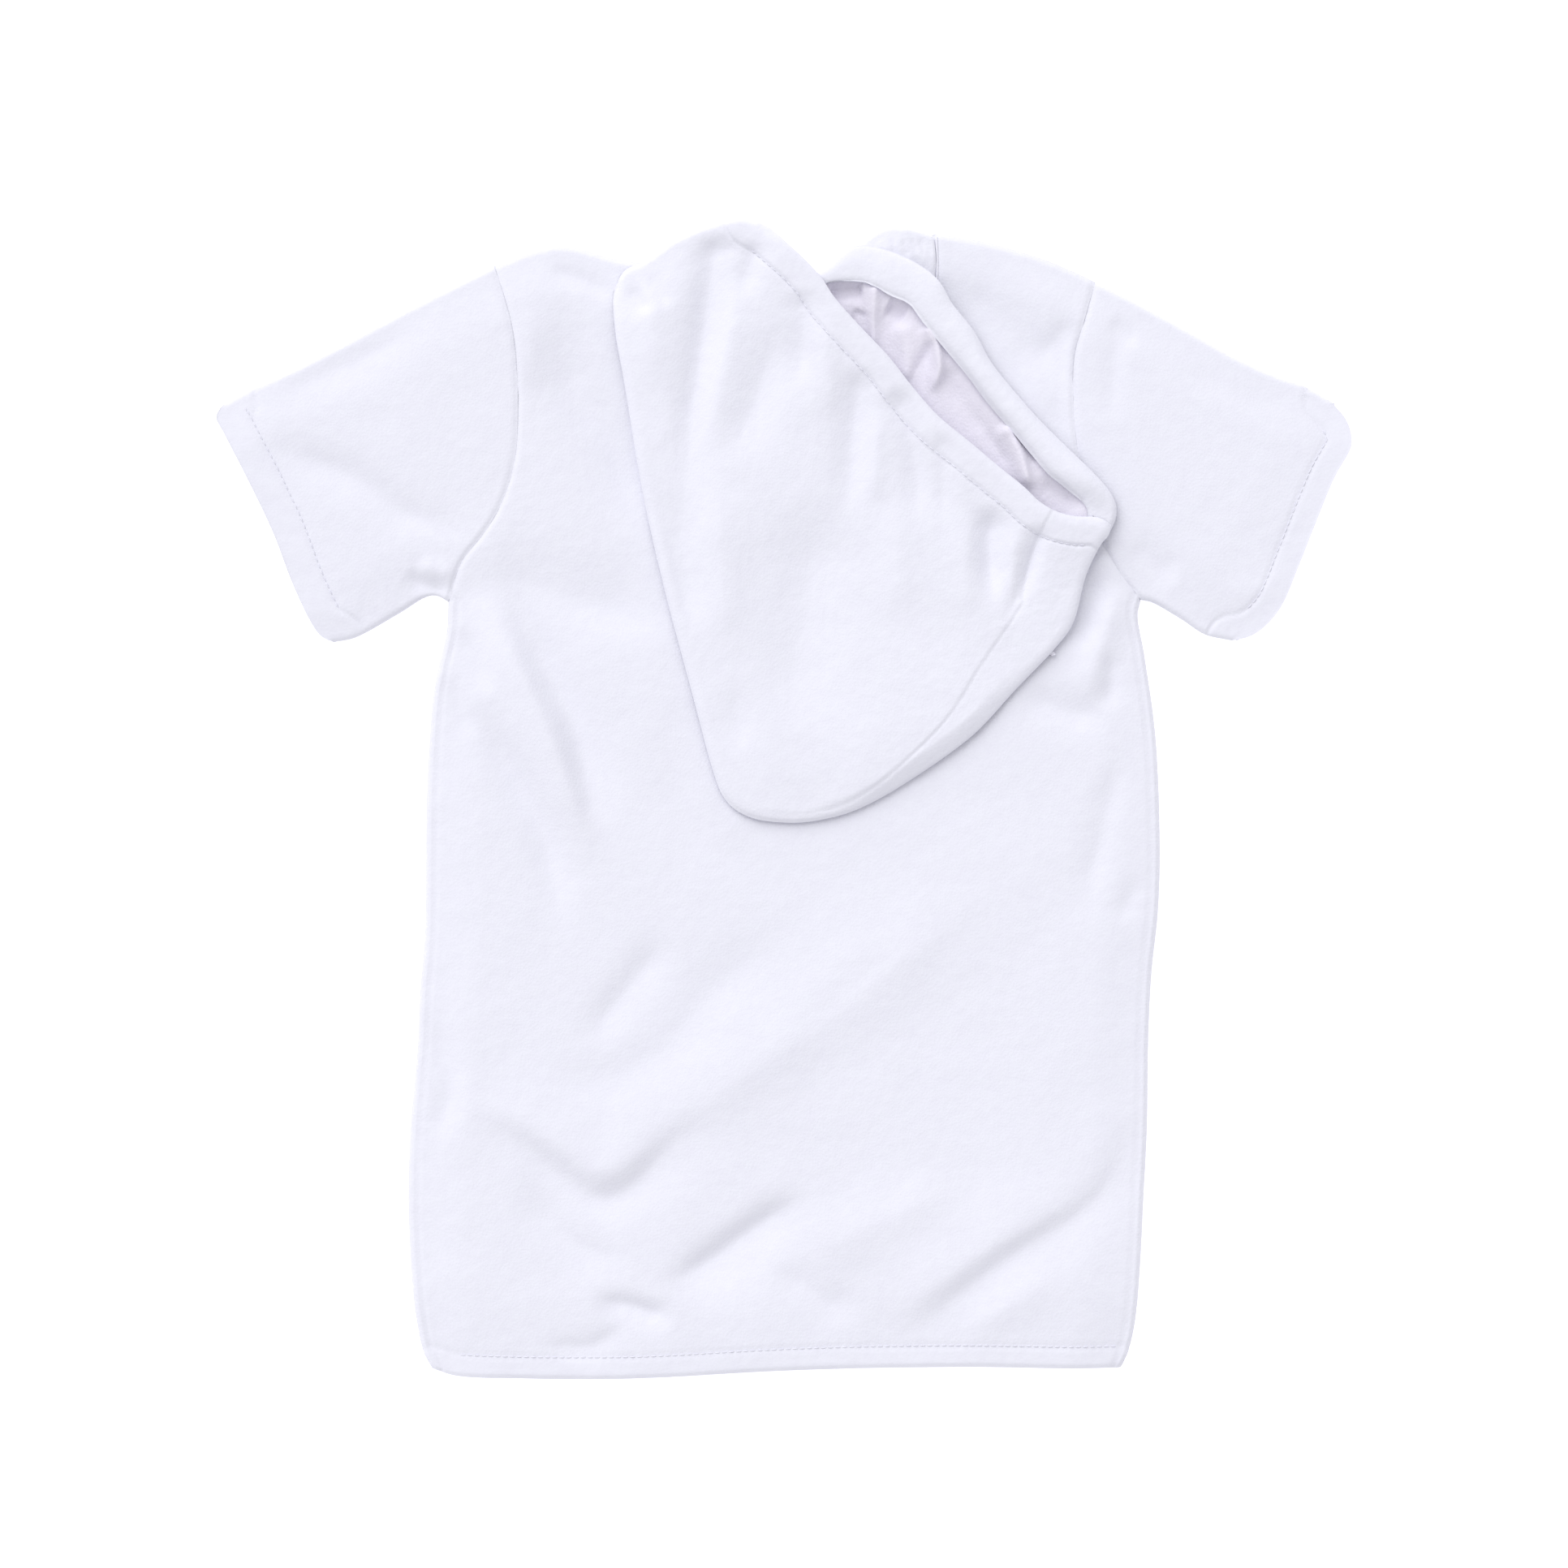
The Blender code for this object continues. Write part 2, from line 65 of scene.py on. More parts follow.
# a line sampled again: evenly, or at the given shares of its length
def evenly(line, count, shares=None):
    steps = np.linalg.norm(np.diff(line, axis=0), axis=1)
    along = np.concatenate([[0], np.cumsum(steps)])
    wanted = (np.linspace(0, 1, count) if shares is None else np.asarray(shares)) * along[-1]
    return np.stack([np.interp(wanted, along, line[:, k]) for k in range(line.shape[1])], axis=1)


# four edges filled with a grid: bottom and top run left to right, left and right run upward; the
# columns are even, or spaced by the given shares
def fillGrid(bottom, top, left, right, shares=None):
    u = np.linspace(0, 1, len(bottom)) if shares is None else shares
    u = u[None, :, None]
    v = np.linspace(0, 1, len(left))[:, None, None]
    ruledV = (1 - v) * bottom[None] + v * top[None]
    ruledU = (1 - u) * left[:, None] + u * right[:, None]
    corners = ((1 - u) * (1 - v) * bottom[0] + u * (1 - v) * bottom[-1]
               + (1 - u) * v * top[0] + u * v * top[-1])
    return ruledV + ruledU - corners


def smoothStep(x, low, high):
    t = np.clip((x - low) / (high - low), 0, 1)
    return t * t * (3 - 2 * t)


# distance from each point to a line, with its side (left is positive) and its share along the line
def fromLine(points, line):
    flat = points.reshape(-1, 2)
    best = np.full(len(flat), 1e9)
    side = np.zeros(len(flat))
    share = np.zeros(len(flat))
    steps = np.linalg.norm(np.diff(line, axis=0), axis=1)
    along = np.concatenate([[0], np.cumsum(steps)])
    for k in range(len(line) - 1):
        d = line[k + 1] - line[k]
        t = np.clip(((flat - line[k]) @ d) / (d @ d), 0, 1)
        off = flat - line[k] - t[:, None] * d
        dist = np.hypot(off[:, 0], off[:, 1])
        near = dist < best
        best[near] = dist[near]
        side[near] = np.sign(d[0] * off[near, 1] - d[1] * off[near, 0])
        share[near] = (along[k] + t[near] * steps[k]) / along[-1]
    shape = points.shape[:-1]
    return best.reshape(shape), side.reshape(shape), share.reshape(shape)


foldShape = {
    "samples": 24,          # points along a fold
    "crispness": 1.7,       # 2 is a soft bell, 1 a sharp crease
    "ends": (0.35, 0.35),   # shares of a fold's length over which it starts and ends
    "spread": 3.2,          # reaches beyond which a fold is flat
}


# each fold: points along it, height (a valley is below zero), reach to its left and to its right,
# and, where they differ from foldShape, its ends
def foldField(points, folds):
    z = np.zeros(points.shape[:-1])
    for fold in folds:
        path, height, reachLeft, reachRight = fold[:4]
        fadeIn, fadeOut = fold[4] if len(fold) > 4 else foldShape["ends"]
        line = smoothLine(path, foldShape["samples"])
        reach = foldShape["spread"] * max(reachLeft, reachRight)
        low, high = line.min(0) - reach, line.max(0) + reach
        inside = np.all((points >= low) & (points <= high), axis=-1)
        if not inside.any():
            continue
        dist, side, share = fromLine(points[inside], line)
        width = np.where(side > 0, reachLeft, reachRight)
        across = np.exp(-(dist / width) ** foldShape["crispness"])
        ends = smoothStep(share, 0, fadeIn) * smoothStep(1 - share, 0, fadeOut)
        z[inside] += height * across * ends
    return z


# soft random unevenness, the same each run
def unevenness(points, size, seed):
    rng = np.random.default_rng(seed)
    lattice = rng.uniform(-1, 1, (96, 96))
    p = points / size + 40.0
    cell = np.floor(p).astype(int) % 95
    t = p - np.floor(p)
    t = t * t * (3 - 2 * t)
    i, j = cell[..., 0], cell[..., 1]
    a = lattice[i, j] * (1 - t[..., 0]) + lattice[i + 1, j] * t[..., 0]
    b = lattice[i, j + 1] * (1 - t[..., 0]) + lattice[i + 1, j + 1] * t[..., 0]
    return a * (1 - t[..., 1]) + b * t[..., 1]


# several of those added, each with its height, its size across and its seed
def lumps(points, layers):
    return sum(height * unevenness(points, size, seed) for height, size, seed in layers)


# how far cloth sinks near an edge: a slow fall over a wide reach, then a round turn at the rim
def edgeFall(distance, reach, fall, turn, drop):
    t = np.clip(distance / turn, 0, 1)
    return fall * (1 - smoothStep(distance, 0, reach)) + drop * (1 - np.sqrt(1 - (1 - t) ** 2))


# the furrow that a seam or a row of stitches pulls into the cloth
def seamGroove(distance, depth, width):
    return -depth * np.exp(-(distance / width) ** 2)


# the same line moved sideways; a positive distance moves it to its left
def offsetLine(line, distance):
    along = np.gradient(line, axis=0)
    along /= np.linalg.norm(along, axis=1, keepdims=True)
    return line + distance * np.stack([-along[:, 1], along[:, 0]], axis=1)


def insideOutline(points, outline):
    x, y = points[..., 0], points[..., 1]
    inside = np.zeros(x.shape, bool)
    for (ax, ay), (bx, by) in zip(outline, np.roll(outline, -1, axis=0)):
        crosses = (ay > y) != (by > y)
        inside ^= crosses & (x < ax + (y - ay) * (bx - ax) / (by - ay + 1e-12))
    return inside


# points of a line laid on a cloth surface, a little above it
def onSurface(grid, line, lift):
    flat = grid.reshape(-1, 3)
    tree = KDTree(len(flat))
    for index, point in enumerate(flat):
        tree.insert((point[0], point[1], 0), index)
    tree.balance()
    heights = []
    for x, y in line:
        near = tree.find_n((x, y, 0), 4)
        weights = np.array([1 / (distance + 0.05) for _, _, distance in near])  # nearer counts more
        heights.append(weights @ [flat[index][2] for _, index, _ in near] / weights.sum())
    return np.column_stack([line, np.array(heights) + lift])


# ---- meshes

rimBulge = 0.42  # how far a cut edge rounds outward, as a share of the cloth's thickness


def gridNormals(grid, wrap):
    if wrap:
        du = np.roll(grid, -1, axis=1) - np.roll(grid, 1, axis=1)
    else:
        du = np.gradient(grid, axis=1)
    dv = np.gradient(grid, axis=0)
    n = np.cross(du, dv)
    return n / np.maximum(np.linalg.norm(n, axis=-1, keepdims=True), 1e-9)


# a sheet of cloth with two faces and a round rim, from a grid of points on its upper face; the
# lining, the cloth's looped inner side with its painted shade tint, is its over or its under face
def clothSheet(name, grid, thickness, wrap=False, hem=None, lining=None):
    rows, cols = grid.shape[:2]
    thick = np.broadcast_to(np.asarray(thickness, float), (rows, cols))[..., None]
    normal = gridNormals(grid, wrap)
    under = grid - normal * thick
    verts = [grid.reshape(-1, 3), under.reshape(-1, 3)]
    number = np.arange(rows * cols).reshape(rows, cols)
    below = number + rows * cols

    def quads(a, flip=False):
        if wrap:
            a = np.concatenate([a, a[:, :1]], axis=1)
        q = np.stack([a[:-1, :-1], a[:-1, 1:], a[1:, 1:], a[1:, :-1]], axis=-1).reshape(-1, 4)
        return q[:, ::-1] if flip else q

    faces = [quads(number), quads(below, flip=True)]
    if wrap:
        borders = [(number[0, ::-1], below[0, ::-1]), (number[-1], below[-1])]
    else:
        ring = np.concatenate([number[0, :-1], number[:-1, -1], number[-1, :0:-1], number[:0:-1, 0]])
        borders = [(ring[::-1], ring[::-1] + rows * cols)]
    flat = grid.reshape(-1, 3)
    flatUnder = under.reshape(-1, 3)
    flatThick = thick.reshape(-1)
    start = 2 * rows * cols
    for top, low in borders:
        upper, lower = flat[top], flatUnder[top]
        tangent = np.roll(upper, -1, axis=0) - np.roll(upper, 1, axis=0)
        outward = np.cross(tangent, upper - lower)
        outward /= np.maximum(np.linalg.norm(outward, axis=1, keepdims=True), 1e-9)
        bulge = outward * (rimBulge * flatThick[top])[:, None]
        rim = [top]
        for share in (0.2, 0.5, 0.8):
            verts.append(upper + (lower - upper) * share + bulge * np.sin(np.pi * share))
            rim.append(np.arange(start, start + len(top)))
            start += len(top)
        rim.append(low)
        for a, b in zip(rim, rim[1:]):
            faces.append(np.stack([a, b, np.roll(b, -1), np.roll(a, -1)], axis=-1))
    made = makeMesh(name, np.vstack(verts), np.vstack(faces).tolist())
    for cloth in (towellingPile, hemCloth, liningPileWithPaintedShadeTint):
        made.data.materials.append(cloth)
    onHem = np.zeros(rows * cols, bool) if hem is None else np.asarray(hem).reshape(-1)
    shown = []
    for face, quad in zip(("over", "under"), faces):
        shown.append(np.where(onHem[quad[:, 0] % (rows * cols)], 1, 2 if lining == face else 0))
    shown.append(np.zeros(sum(len(quad) for quad in faces[2:]), int))
    made.data.polygons.foreach_set("material_index", np.concatenate(shown).astype(int))
    return made


def makeMesh(name, verts, faces):
    mesh = bpy.data.meshes.new(name)
    mesh.from_pydata((verts * mm).tolist(), [], faces)
    mesh.validate()
    mesh.update()
    mesh.polygons.foreach_set("use_smooth", np.ones(len(mesh.polygons), bool))
    obj = bpy.data.objects.new(name, mesh)
    bpy.context.scene.collection.objects.link(obj)
    return obj


# ---- materials

def linear(hexColour):
    channels = [int(hexColour[k:k + 2], 16) / 255 for k in (1, 3, 5)]
    return [c / 12.92 if c <= 0.04045 else ((c + 0.055) / 1.055) ** 2.4 for c in channels] + [1.0]


# adds a node, sets its fields and values, and links its inputs
def addNode(tree, kind, fields=None, values=None, links=None):
    node = tree.nodes.new(kind)
    for key, value in (fields or {}).items():
        setattr(node, key, value)
    for key, value in (values or {}).items():
        node.inputs[key].default_value = value
    for key, source in (links or {}).items():
        tree.links.new(source, node.inputs[key])
    return node


# towelling: cotton loops sheared to a short pile, so it is matt, has a soft bright rim of fibre
# ends and a fine uneven grain; real loops stand about 0.8 mm apart and are drawn at 1.25 mm, as
# coarse as they need to show
towelling = {
    "colour": "#e4e5ef",
    "shade": "#deddea",
    "loopPitch": 1.25,
    "tuftSize": 5.0,
    "pileHeight": 0.35,
    "roughness": 0.95,
    "sheen": 0.25,
    "sheenRoughness": 0.6,
    "specular": 0.15,
    "ior": 1.5,
    "bumpStrength": 0.6,
    "tuftShare": 0.45,
}
hemPileShare = 0.8  # the hem is pressed flatter by its stitches
loopPileShare = 1.3  # unsheared loops stand higher
# painted shade tint: the loop side's colours stand in for the tinted shade inside the hood, a little warmer
# and lighter than the outer side
loopSidePaintedShadeTint = {**towelling, "colour": "#e8e5f1", "shade": "#dfdbea"}


def makeTowelling(name, look, pileHeight):
    made = bpy.data.materials.new(name)
    made.use_nodes = True
    tree = made.node_tree
    shader = tree.nodes["Principled BSDF"]
    shader.inputs["Roughness"].default_value = look["roughness"]
    shader.inputs["Metallic"].default_value = 0.0
    shader.inputs["IOR"].default_value = look["ior"]
    shader.inputs["Specular IOR Level"].default_value = look["specular"]
    shader.inputs["Sheen Weight"].default_value = look["sheen"]
    shader.inputs["Sheen Roughness"].default_value = look["sheenRoughness"]
    where = addNode(tree, "ShaderNodeTexCoord").outputs["Object"]
    loops = addNode(tree, "ShaderNodeTexVoronoi", {"feature": "SMOOTH_F1"},
                    {"Scale": 1000 / look["loopPitch"], "Smoothness": 0.6, "Randomness": 0.9},
                    {"Vector": where})
    tufts = addNode(tree, "ShaderNodeTexNoise", None,
                    {"Scale": 1000 / look["tuftSize"], "Detail": 4.0, "Roughness": 0.65},
                    {"Vector": where})
    mix = addNode(tree, "ShaderNodeMix", {"data_type": "FLOAT"}, {"Factor": look["tuftShare"]},
                  {"A": loops.outputs["Distance"], "B": tufts.outputs["Fac"]})
    bump = addNode(tree, "ShaderNodeBump", None,
                   {"Strength": look["bumpStrength"], "Distance": pileHeight * mm},
                   {"Height": mix.outputs["Result"]})
    tint = addNode(tree, "ShaderNodeMix", {"data_type": "RGBA"},
                   {"A": linear(look["shade"]), "B": linear(look["colour"])},
                   {"Factor": tufts.outputs["Fac"]})
    tree.links.new(tint.outputs["Result"], shader.inputs["Base Color"])
    tree.links.new(bump.outputs["Normal"], shader.inputs["Normal"])
    return made


towellingPile = makeTowelling("cottonTowellingShearedPile", towelling, towelling["pileHeight"])
hemCloth = makeTowelling("cottonTowellingTurnedHem", towelling, towelling["pileHeight"] * hemPileShare)
# the inner side keeps its loops unsheared, so its grain is rougher; its colour is painted light and shade: a
# warmer lilac tint that stands in for the tinted shade deep inside the hood, set a little lighter than the
# outer side to lift the shade its folds cast
liningPileWithPaintedShadeTint = makeTowelling("cottonTowellingLoopSidePaintedShadeTint", loopSidePaintedShadeTint, towelling["pileHeight"] * loopPileShare)


# sewing thread: spun polyester, white, with a slight lustre and a fine twist; the overlock thread
# is textured, so it is fluffier and its pattern coarser
threadWhite = {
    "light": "#e9e9f2",
    "shade": "#d9d8e6",
    "roughness": 0.6,
    "sheen": 0.15,
    "ior": 1.54,
    "bumpStrength": 0.4,
    "ridgeHeight": 0.08,
    "sewingTwist": 0.5,
    "overlockTwist": 0.8,
}


def makeThread(name, look, twist):
    made = bpy.data.materials.new(name)
    made.use_nodes = True
    tree = made.node_tree
    shader = tree.nodes["Principled BSDF"]
    shader.inputs["Roughness"].default_value = look["roughness"]
    shader.inputs["Metallic"].default_value = 0.0
    shader.inputs["IOR"].default_value = look["ior"]
    shader.inputs["Sheen Weight"].default_value = look["sheen"]
    where = addNode(tree, "ShaderNodeTexCoord").outputs["Object"]
    strands = addNode(tree, "ShaderNodeTexNoise", None, {"Scale": 1000 / twist, "Detail": 2.0},
                      {"Vector": where})
    tint = addNode(tree, "ShaderNodeMix", {"data_type": "RGBA"},
                   {"A": linear(look["shade"]), "B": linear(look["light"])},
                   {"Factor": strands.outputs["Fac"]})
    bump = addNode(tree, "ShaderNodeBump", None,
                   {"Strength": look["bumpStrength"], "Distance": look["ridgeHeight"] * mm},
                   {"Height": strands.outputs["Fac"]})
    tree.links.new(tint.outputs["Result"], shader.inputs["Base Color"])
    tree.links.new(bump.outputs["Normal"], shader.inputs["Normal"])
    return made


sewingThread = makeThread("spunPolyesterSewingThread", threadWhite, threadWhite["sewingTwist"])
overlockThread = makeThread("texturedPolyesterOverlockThread", threadWhite, threadWhite["overlockTwist"])


# ---- body of the garment, back and front

body = {
    "backHeight": 10.9,
    "frontHeight": 2.7,
    "edgeHeight": 5.9,
    "clothThickness": 2.2,
    "hemThickness": 3.2,
    "hemDepth": 11.0,
    "seamInset": 4.2,
    "underHood": 9.6,      # the hood presses the back down to this height
    "lumps": [(0.5, 38, 3), (0.2, 13, 5)],
    "nap": [(0.1, 2.6, 6)],
    "sideReach": 30,
    "shoulderReach": 24,
    "hemReach": 42,
    "edgeSink": 2.4,
    "hemSink": 2.2,
    "hemDrop": 1.6,
    "rimTurn": 3.0,
    "sideGroove": (0.8, 0.9),
    "armholeGroove": (1.1, 1.3),
    "hemGroove": (0.5, 1.0),
    "puckerHeight": 0.12,
    "puckerPitch": 4.833,
    "puckerReach": 3.0,
    "columns": 224,
    "rows": 350,
}
frontPanel = {
    "lumps": [(0.25, 30, 8)],
    "sideReach": 26,
    "shoulderReach": 20,
    "edgeLift": 1.0,
    "hemLift": 0.7,
    "hemThickness": 3.0,
    "coarser": 3,          # it is hidden, so its grid is this much coarser than the back's
}

leftSide = [(-174, -281), (-179, -271), (-182.5, -252), (-184.6, -228), (-185.8, -196), (-184.6, -161),
            (-181.4, -125), (-179.8, -93), (-177.4, -62), (-176.8, -2), (-174.4, 42), (-171.6, 62),
            (-167, 82), (-166, 98)]
leftArmhole = [(-166, 98), (-159.5, 117), (-148, 132), (-139, 147.6), (-132.8, 169), (-131.4, 193),
               (-132.4, 222), (-136.4, 243), (-143.4, 264)]
rightSide = [(166.5, -280.5), (170.4, -271), (173.6, -255), (175.8, -228), (177.4, -196), (179, -164),
             (179.8, -117), (181.4, -85), (184.6, -53.6), (185.4, -18.8), (183.4, 30), (178, 70),
             (174.4, 90), (176, 99)]
rightArmhole = [(176, 99), (163.4, 115.6), (151, 140), (144, 176), (142.4, 198), (143, 219),
                (148, 237), (153.4, 256)]
bottomEdge = [(-174, -281), (-160, -284.6), (-131, -285.4), (-98, -285.8), (-62, -285), (5.4, -281.4),
              (84, -279.8), (140, -280.6), (166.5, -280.5)]
leftShoulder = [(-143.4, 264), (-126, 270.8), (-113.8, 273.6), (-101.4, 272.4), (-85.4, 267.6),
                (-69.8, 265.4)]
backNeck = [(-69.8, 265.4), (-40, 257), (0, 253), (38, 258), (60, 271), (74.6, 279.8)]
frontNeck = [(-69.8, 265.4), (-52, 240), (-24, 222), (2, 218), (30, 224), (58, 248), (74.6, 279.8)]
rightShoulder = [(74.6, 279.8), (88, 277.8), (103, 274.8), (125.8, 268), (142, 261.5), (153.4, 256)]

bodyFolds = [
    ([(-64, -244), (-38, -228), (-20, -215), (-2, -203), (18, -196)], -5.0, 7, 17),
    ([(-96, -246), (-74, -250), (-52, -257)], -3.4, 5, 8),
    ([(-124, -268), (-100, -270), (-85, -264), (-72, -256)], -1.4, 5, 6),
    ([(-160, -152), (-139, -164), (-123, -175), (-106, -189), (-88, -197), (-70, -186), (-55, -169),
      (-26, -150)], -3.0, 8, 12),
    ([(-154, -142), (-123, -161), (-92, -182), (-70, -172), (-44, -152)], 2.4, 20, 9),
    ([(-84, -178), (-20, -134), (25, -104), (60, -76), (108, -38)], 3.2, 24, 15),
    ([(-130, -128), (-90, -137), (-57, -122), (-39, -98), (-18, -80), (14, -58)], -2.0, 13, 14),
    ([(-100, -124), (-82, -99), (-68, -81), (-52, -66)], -2.6, 8, 10),
    ([(0, -124), (33, -93), (62, -66)], -1.2, 10, 12),
    ([(-133, -180), (-115, -206), (-98, -222), (-72, -230)], -2.6, 9, 10),
    ([(-10, -229), (6, -237), (21, -247), (42, -252)], -2.4, 9, 11),
    ([(44, -270), (62, -262), (76, -252), (100, -233), (125, -216), (147, -203), (160, -189),
      (168, -171), (176, -148)], -2.6, 7, 13),
    ([(48, -258), (75, -238), (100, -221), (130, -204), (158, -188)], 2.6, 21, 9),
    ([(-2, -226), (30, -216), (60, -202), (94, -186)], 2.2, 15, 14),
    ([(84, -268), (110, -250), (136, -234)], 1.4, 9, 10),
    ([(-152, 106), (-140, 84), (-129, 62), (-113, 26), (-103, -4), (-94, -36)], 5.4, 7, 14),
    ([(-140, 112), (-126, 80), (-106, 42), (-97, 8), (-92, -20)], -3.2, 13, 7),
    ([(-160, 58), (-138, 20), (-121, -12), (-112, -46), (-108, -72)], -4.0, 9, 9),
    ([(-160, 88), (-152, 68), (-145, 50)], -1.8, 5, 6),
    ([(-165, 64), (-160, 45), (-153, 28)], -1.6, 5, 7),
    ([(-158, 119), (-107, 101), (-50, 84)], -3.6, 19, 14),
    ([(-114, 250), (-104, 206), (-86, 174), (-68, 126)], -4.4, 13, 15),
    ([(-126, 246), (-124, 200)], 1.2, 8, 8),
    ([(-120, 263), (-106, 258.5), (-94, 254), (-82, 245)], -1.8, 5, 6),
    ([(-176, -100), (-168, -125), (-165, -142), (-173, -172)], -1.8, 7, 6),
    ([(114, 56), (138, 44), (162, 40)], -2.4, 9, 8),
    ([(160, 76), (161, 57), (157, 42)], -1.8, 5, 5),
    ([(168, 112), (158, 84), (151, 60), (145, 42)], 2.8, 8, 8),
    ([(166, 30), (158, -10), (153, -33), (148, -60)], -2.0, 7, 8),
    ([(176, -36), (164, -62)], -1.0, 5, 5),
    ([(76, 280), (76.6, 266), (77, 250)], 1.0, 4, 4, (0.1, 0.3)),
    ([(78, 266), (96, 248), (118, 226), (136, 198)], -3.4, 15, 17),
    ([(146, 239), (134, 227), (122, 214)], -1.4, 6, 6),
    ([(138, 238), (135, 205), (138, 168)], -1.4, 7, 9),
    ([(156, 120), (150, 98), (144, 72)], -3.4, 7, 9),
    ([(100, 66), (60, 36), (20, 14)], -1.4, 10, 14),
    ([(-60, 40), (-52, 0), (-36, -24), (0, -32)], -1.2, 12, 12),
]


def bodyPlan(neck):
    rows, cols = body["rows"], body["columns"]
    left = evenly(np.vstack([smoothLine(leftSide, 200), smoothLine(leftArmhole, 100)[1:]]), rows)
    right = evenly(np.vstack([smoothLine(rightSide, 200), smoothLine(rightArmhole, 100)[1:]]), rows)
    top = np.vstack([smoothLine(leftShoulder, 60), smoothLine(neck, 90)[1:],
                     smoothLine(rightShoulder, 60)[1:]])
    return fillGrid(smoothLine(bottomEdge, cols), evenly(top, cols), left, right)


# distances to the sides, the shoulders, the armholes and the bottom edge
def edgeDistances(plan):
    pairs = [(leftSide, rightSide), (leftShoulder, rightShoulder), (leftArmhole, rightArmhole)]
    found = [np.minimum(*(fromLine(plan, smoothLine(line, 70))[0] for line in pair)) for pair in pairs]
    return (*found, fromLine(plan, smoothLine(bottomEdge, 70))[0])


def buildBack():
    plan = bodyPlan(backNeck)
    side, shoulder, armhole, low = edgeDistances(plan)
    z = body["backHeight"] + foldField(plan, bodyFolds) + lumps(plan, body["lumps"])
    outline = evenly(np.array(hoodBack + hoodFront + farOuter[::-1], float), 120)
    covered = fromLine(plan, outline)[0] * np.where(insideOutline(plan, outline), 1, -1)
    z += smoothStep(covered, -4, 14) * (np.minimum(z, body["underHood"]) - z)
    z += lumps(plan, body["nap"])
    drop = body["backHeight"] - body["edgeHeight"] - body["edgeSink"]
    z -= edgeFall(side, body["sideReach"], body["edgeSink"], body["rimTurn"], drop)
    z -= edgeFall(shoulder, body["shoulderReach"], body["edgeSink"], body["rimTurn"], drop)
    z -= edgeFall(low, body["hemReach"], body["hemSink"], body["rimTurn"], body["hemDrop"])
    z += seamGroove(side - body["seamInset"], *body["sideGroove"])
    z += seamGroove(armhole, *body["armholeGroove"])
    z += seamGroove(low - body["hemDepth"], *body["hemGroove"])
    waves = np.sin(plan[..., 0] * 2 * np.pi / body["puckerPitch"])
    z += body["puckerHeight"] * waves * np.exp(-((low - body["hemDepth"]) / body["puckerReach"]) ** 2)
    onHem = low < body["hemDepth"]
    thickness = np.where(onHem, body["hemThickness"], body["clothThickness"])
    grid = np.dstack([plan, z])
    return clothSheet("backPanelTowelling", grid, thickness, hem=onHem, lining="under"), grid


def buildFront():
    plan = bodyPlan(frontNeck)[::frontPanel["coarser"], ::frontPanel["coarser"]]
    side, shoulder, _, low = edgeDistances(plan)
    z = body["frontHeight"] + lumps(plan, frontPanel["lumps"])
    z += frontPanel["edgeLift"] * (1 - smoothStep(side, 0, frontPanel["sideReach"]))
    z += frontPanel["edgeLift"] * (1 - smoothStep(shoulder, 0, frontPanel["shoulderReach"]))
    onHem = low < body["hemDepth"]
    z += np.where(onHem, frontPanel["hemLift"], 0.0)
    thickness = np.where(onHem, frontPanel["hemThickness"], body["clothThickness"])
    grid = np.dstack([plan, z])
    return clothSheet("frontPanelTowelling", grid, thickness, hem=onHem, lining="over"), grid


# ---- sleeves

sleeves = {
    "left": {
        "top": [(-143.4, 264), (-186.2, 242.4), (-229, 219.4), (-265, 202.4), (-276.5, 196)],
        "cuff": [(-276.5, 196), (-280.4, 189), (-276.2, 180.4), (-265, 158.8), (-252.2, 132),
                 (-243.4, 108.8), (-235, 90.4), (-229, 81.2), (-222.5, 78)],
        "under": [(-166, 98), (-172, 101), (-178.5, 99.6), (-190.6, 92), (-210.6, 80.8), (-222.5, 78)],
        "armhole": leftArmhole[::-1],
        "hemDepth": 15.5,
        "folds": [
            ([(-262, 178), (-240.6, 170), (-219, 161.5), (-202, 152.5), (-185, 140), (-150, 130)],
             -3.0, 9, 10),
            ([(-252, 199), (-215, 215), (-178, 233)], -1.1, 6, 8),
            ([(-188, 113), (-177, 106), (-162, 103)], -2.2, 5, 5),
            ([(-182, 118), (-172, 113), (-160, 112)], 1.6, 5, 5),
            ([(-240, 100), (-225, 92), (-205, 92)], 0.8, 7, 8),
        ],
    },
    "right": {
        "top": [(153.4, 256), (173.4, 246), (201.8, 230.4), (220.6, 219.8), (241.8, 210), (256.2, 205),
                (269, 197.6)],
        "cuff": [(269, 197.6), (277, 188), (279.8, 178.8), (278.6, 172), (270.6, 157.6), (261.8, 136),
                 (253.4, 114.8), (246.2, 97.6), (239, 87.6), (230.6, 81.2), (221, 78.8)],
        "under": [(176, 99), (183, 97), (196.2, 89.2), (207.8, 81.8), (221, 78.8)],
        "armhole": rightArmhole[::-1],
        "hemDepth": 12.5,
        "folds": [
            ([(165, 236), (162, 210), (163, 184)], -1.2, 5, 6),
            ([(160, 238), (168, 230), (176, 226)], -1.2, 5, 5),
            ([(168, 128), (182, 119), (196, 108)], -1.6, 8, 8),
            ([(214, 104), (235, 104), (250, 120)], 0.8, 10, 8),
            ([(190, 214), (222, 200), (254, 190)], -0.7, 10, 9),
        ],
    },
}
sleeveShape = {
    "halfHeight": 5.2,
    "middle": 5.6,
    "turn": 3.2,           # radius of its two folded edges
    "reach": 30.0,
    "rimSwell": 0.58,      # how full it is beside an edge
    "cuffFlatter": 0.3,
    "cuffReach": 45,
    "layerGap": 0.1,
    "across": 125.0,       # usual width, to space the columns
    "clothThickness": 2.0,
    "hemThickness": 2.8,
    "lumps": [(0.3, 30, 11)],
    "nap": [(0.15, 11, 12), (0.1, 2.6, 13)],
    "armholeGroove": (1.1, 1.3),
    "hemGroove": (0.7, 1.0),
    "turnColumns": 6,
    "columns": 84,
    "rows": 90,
}


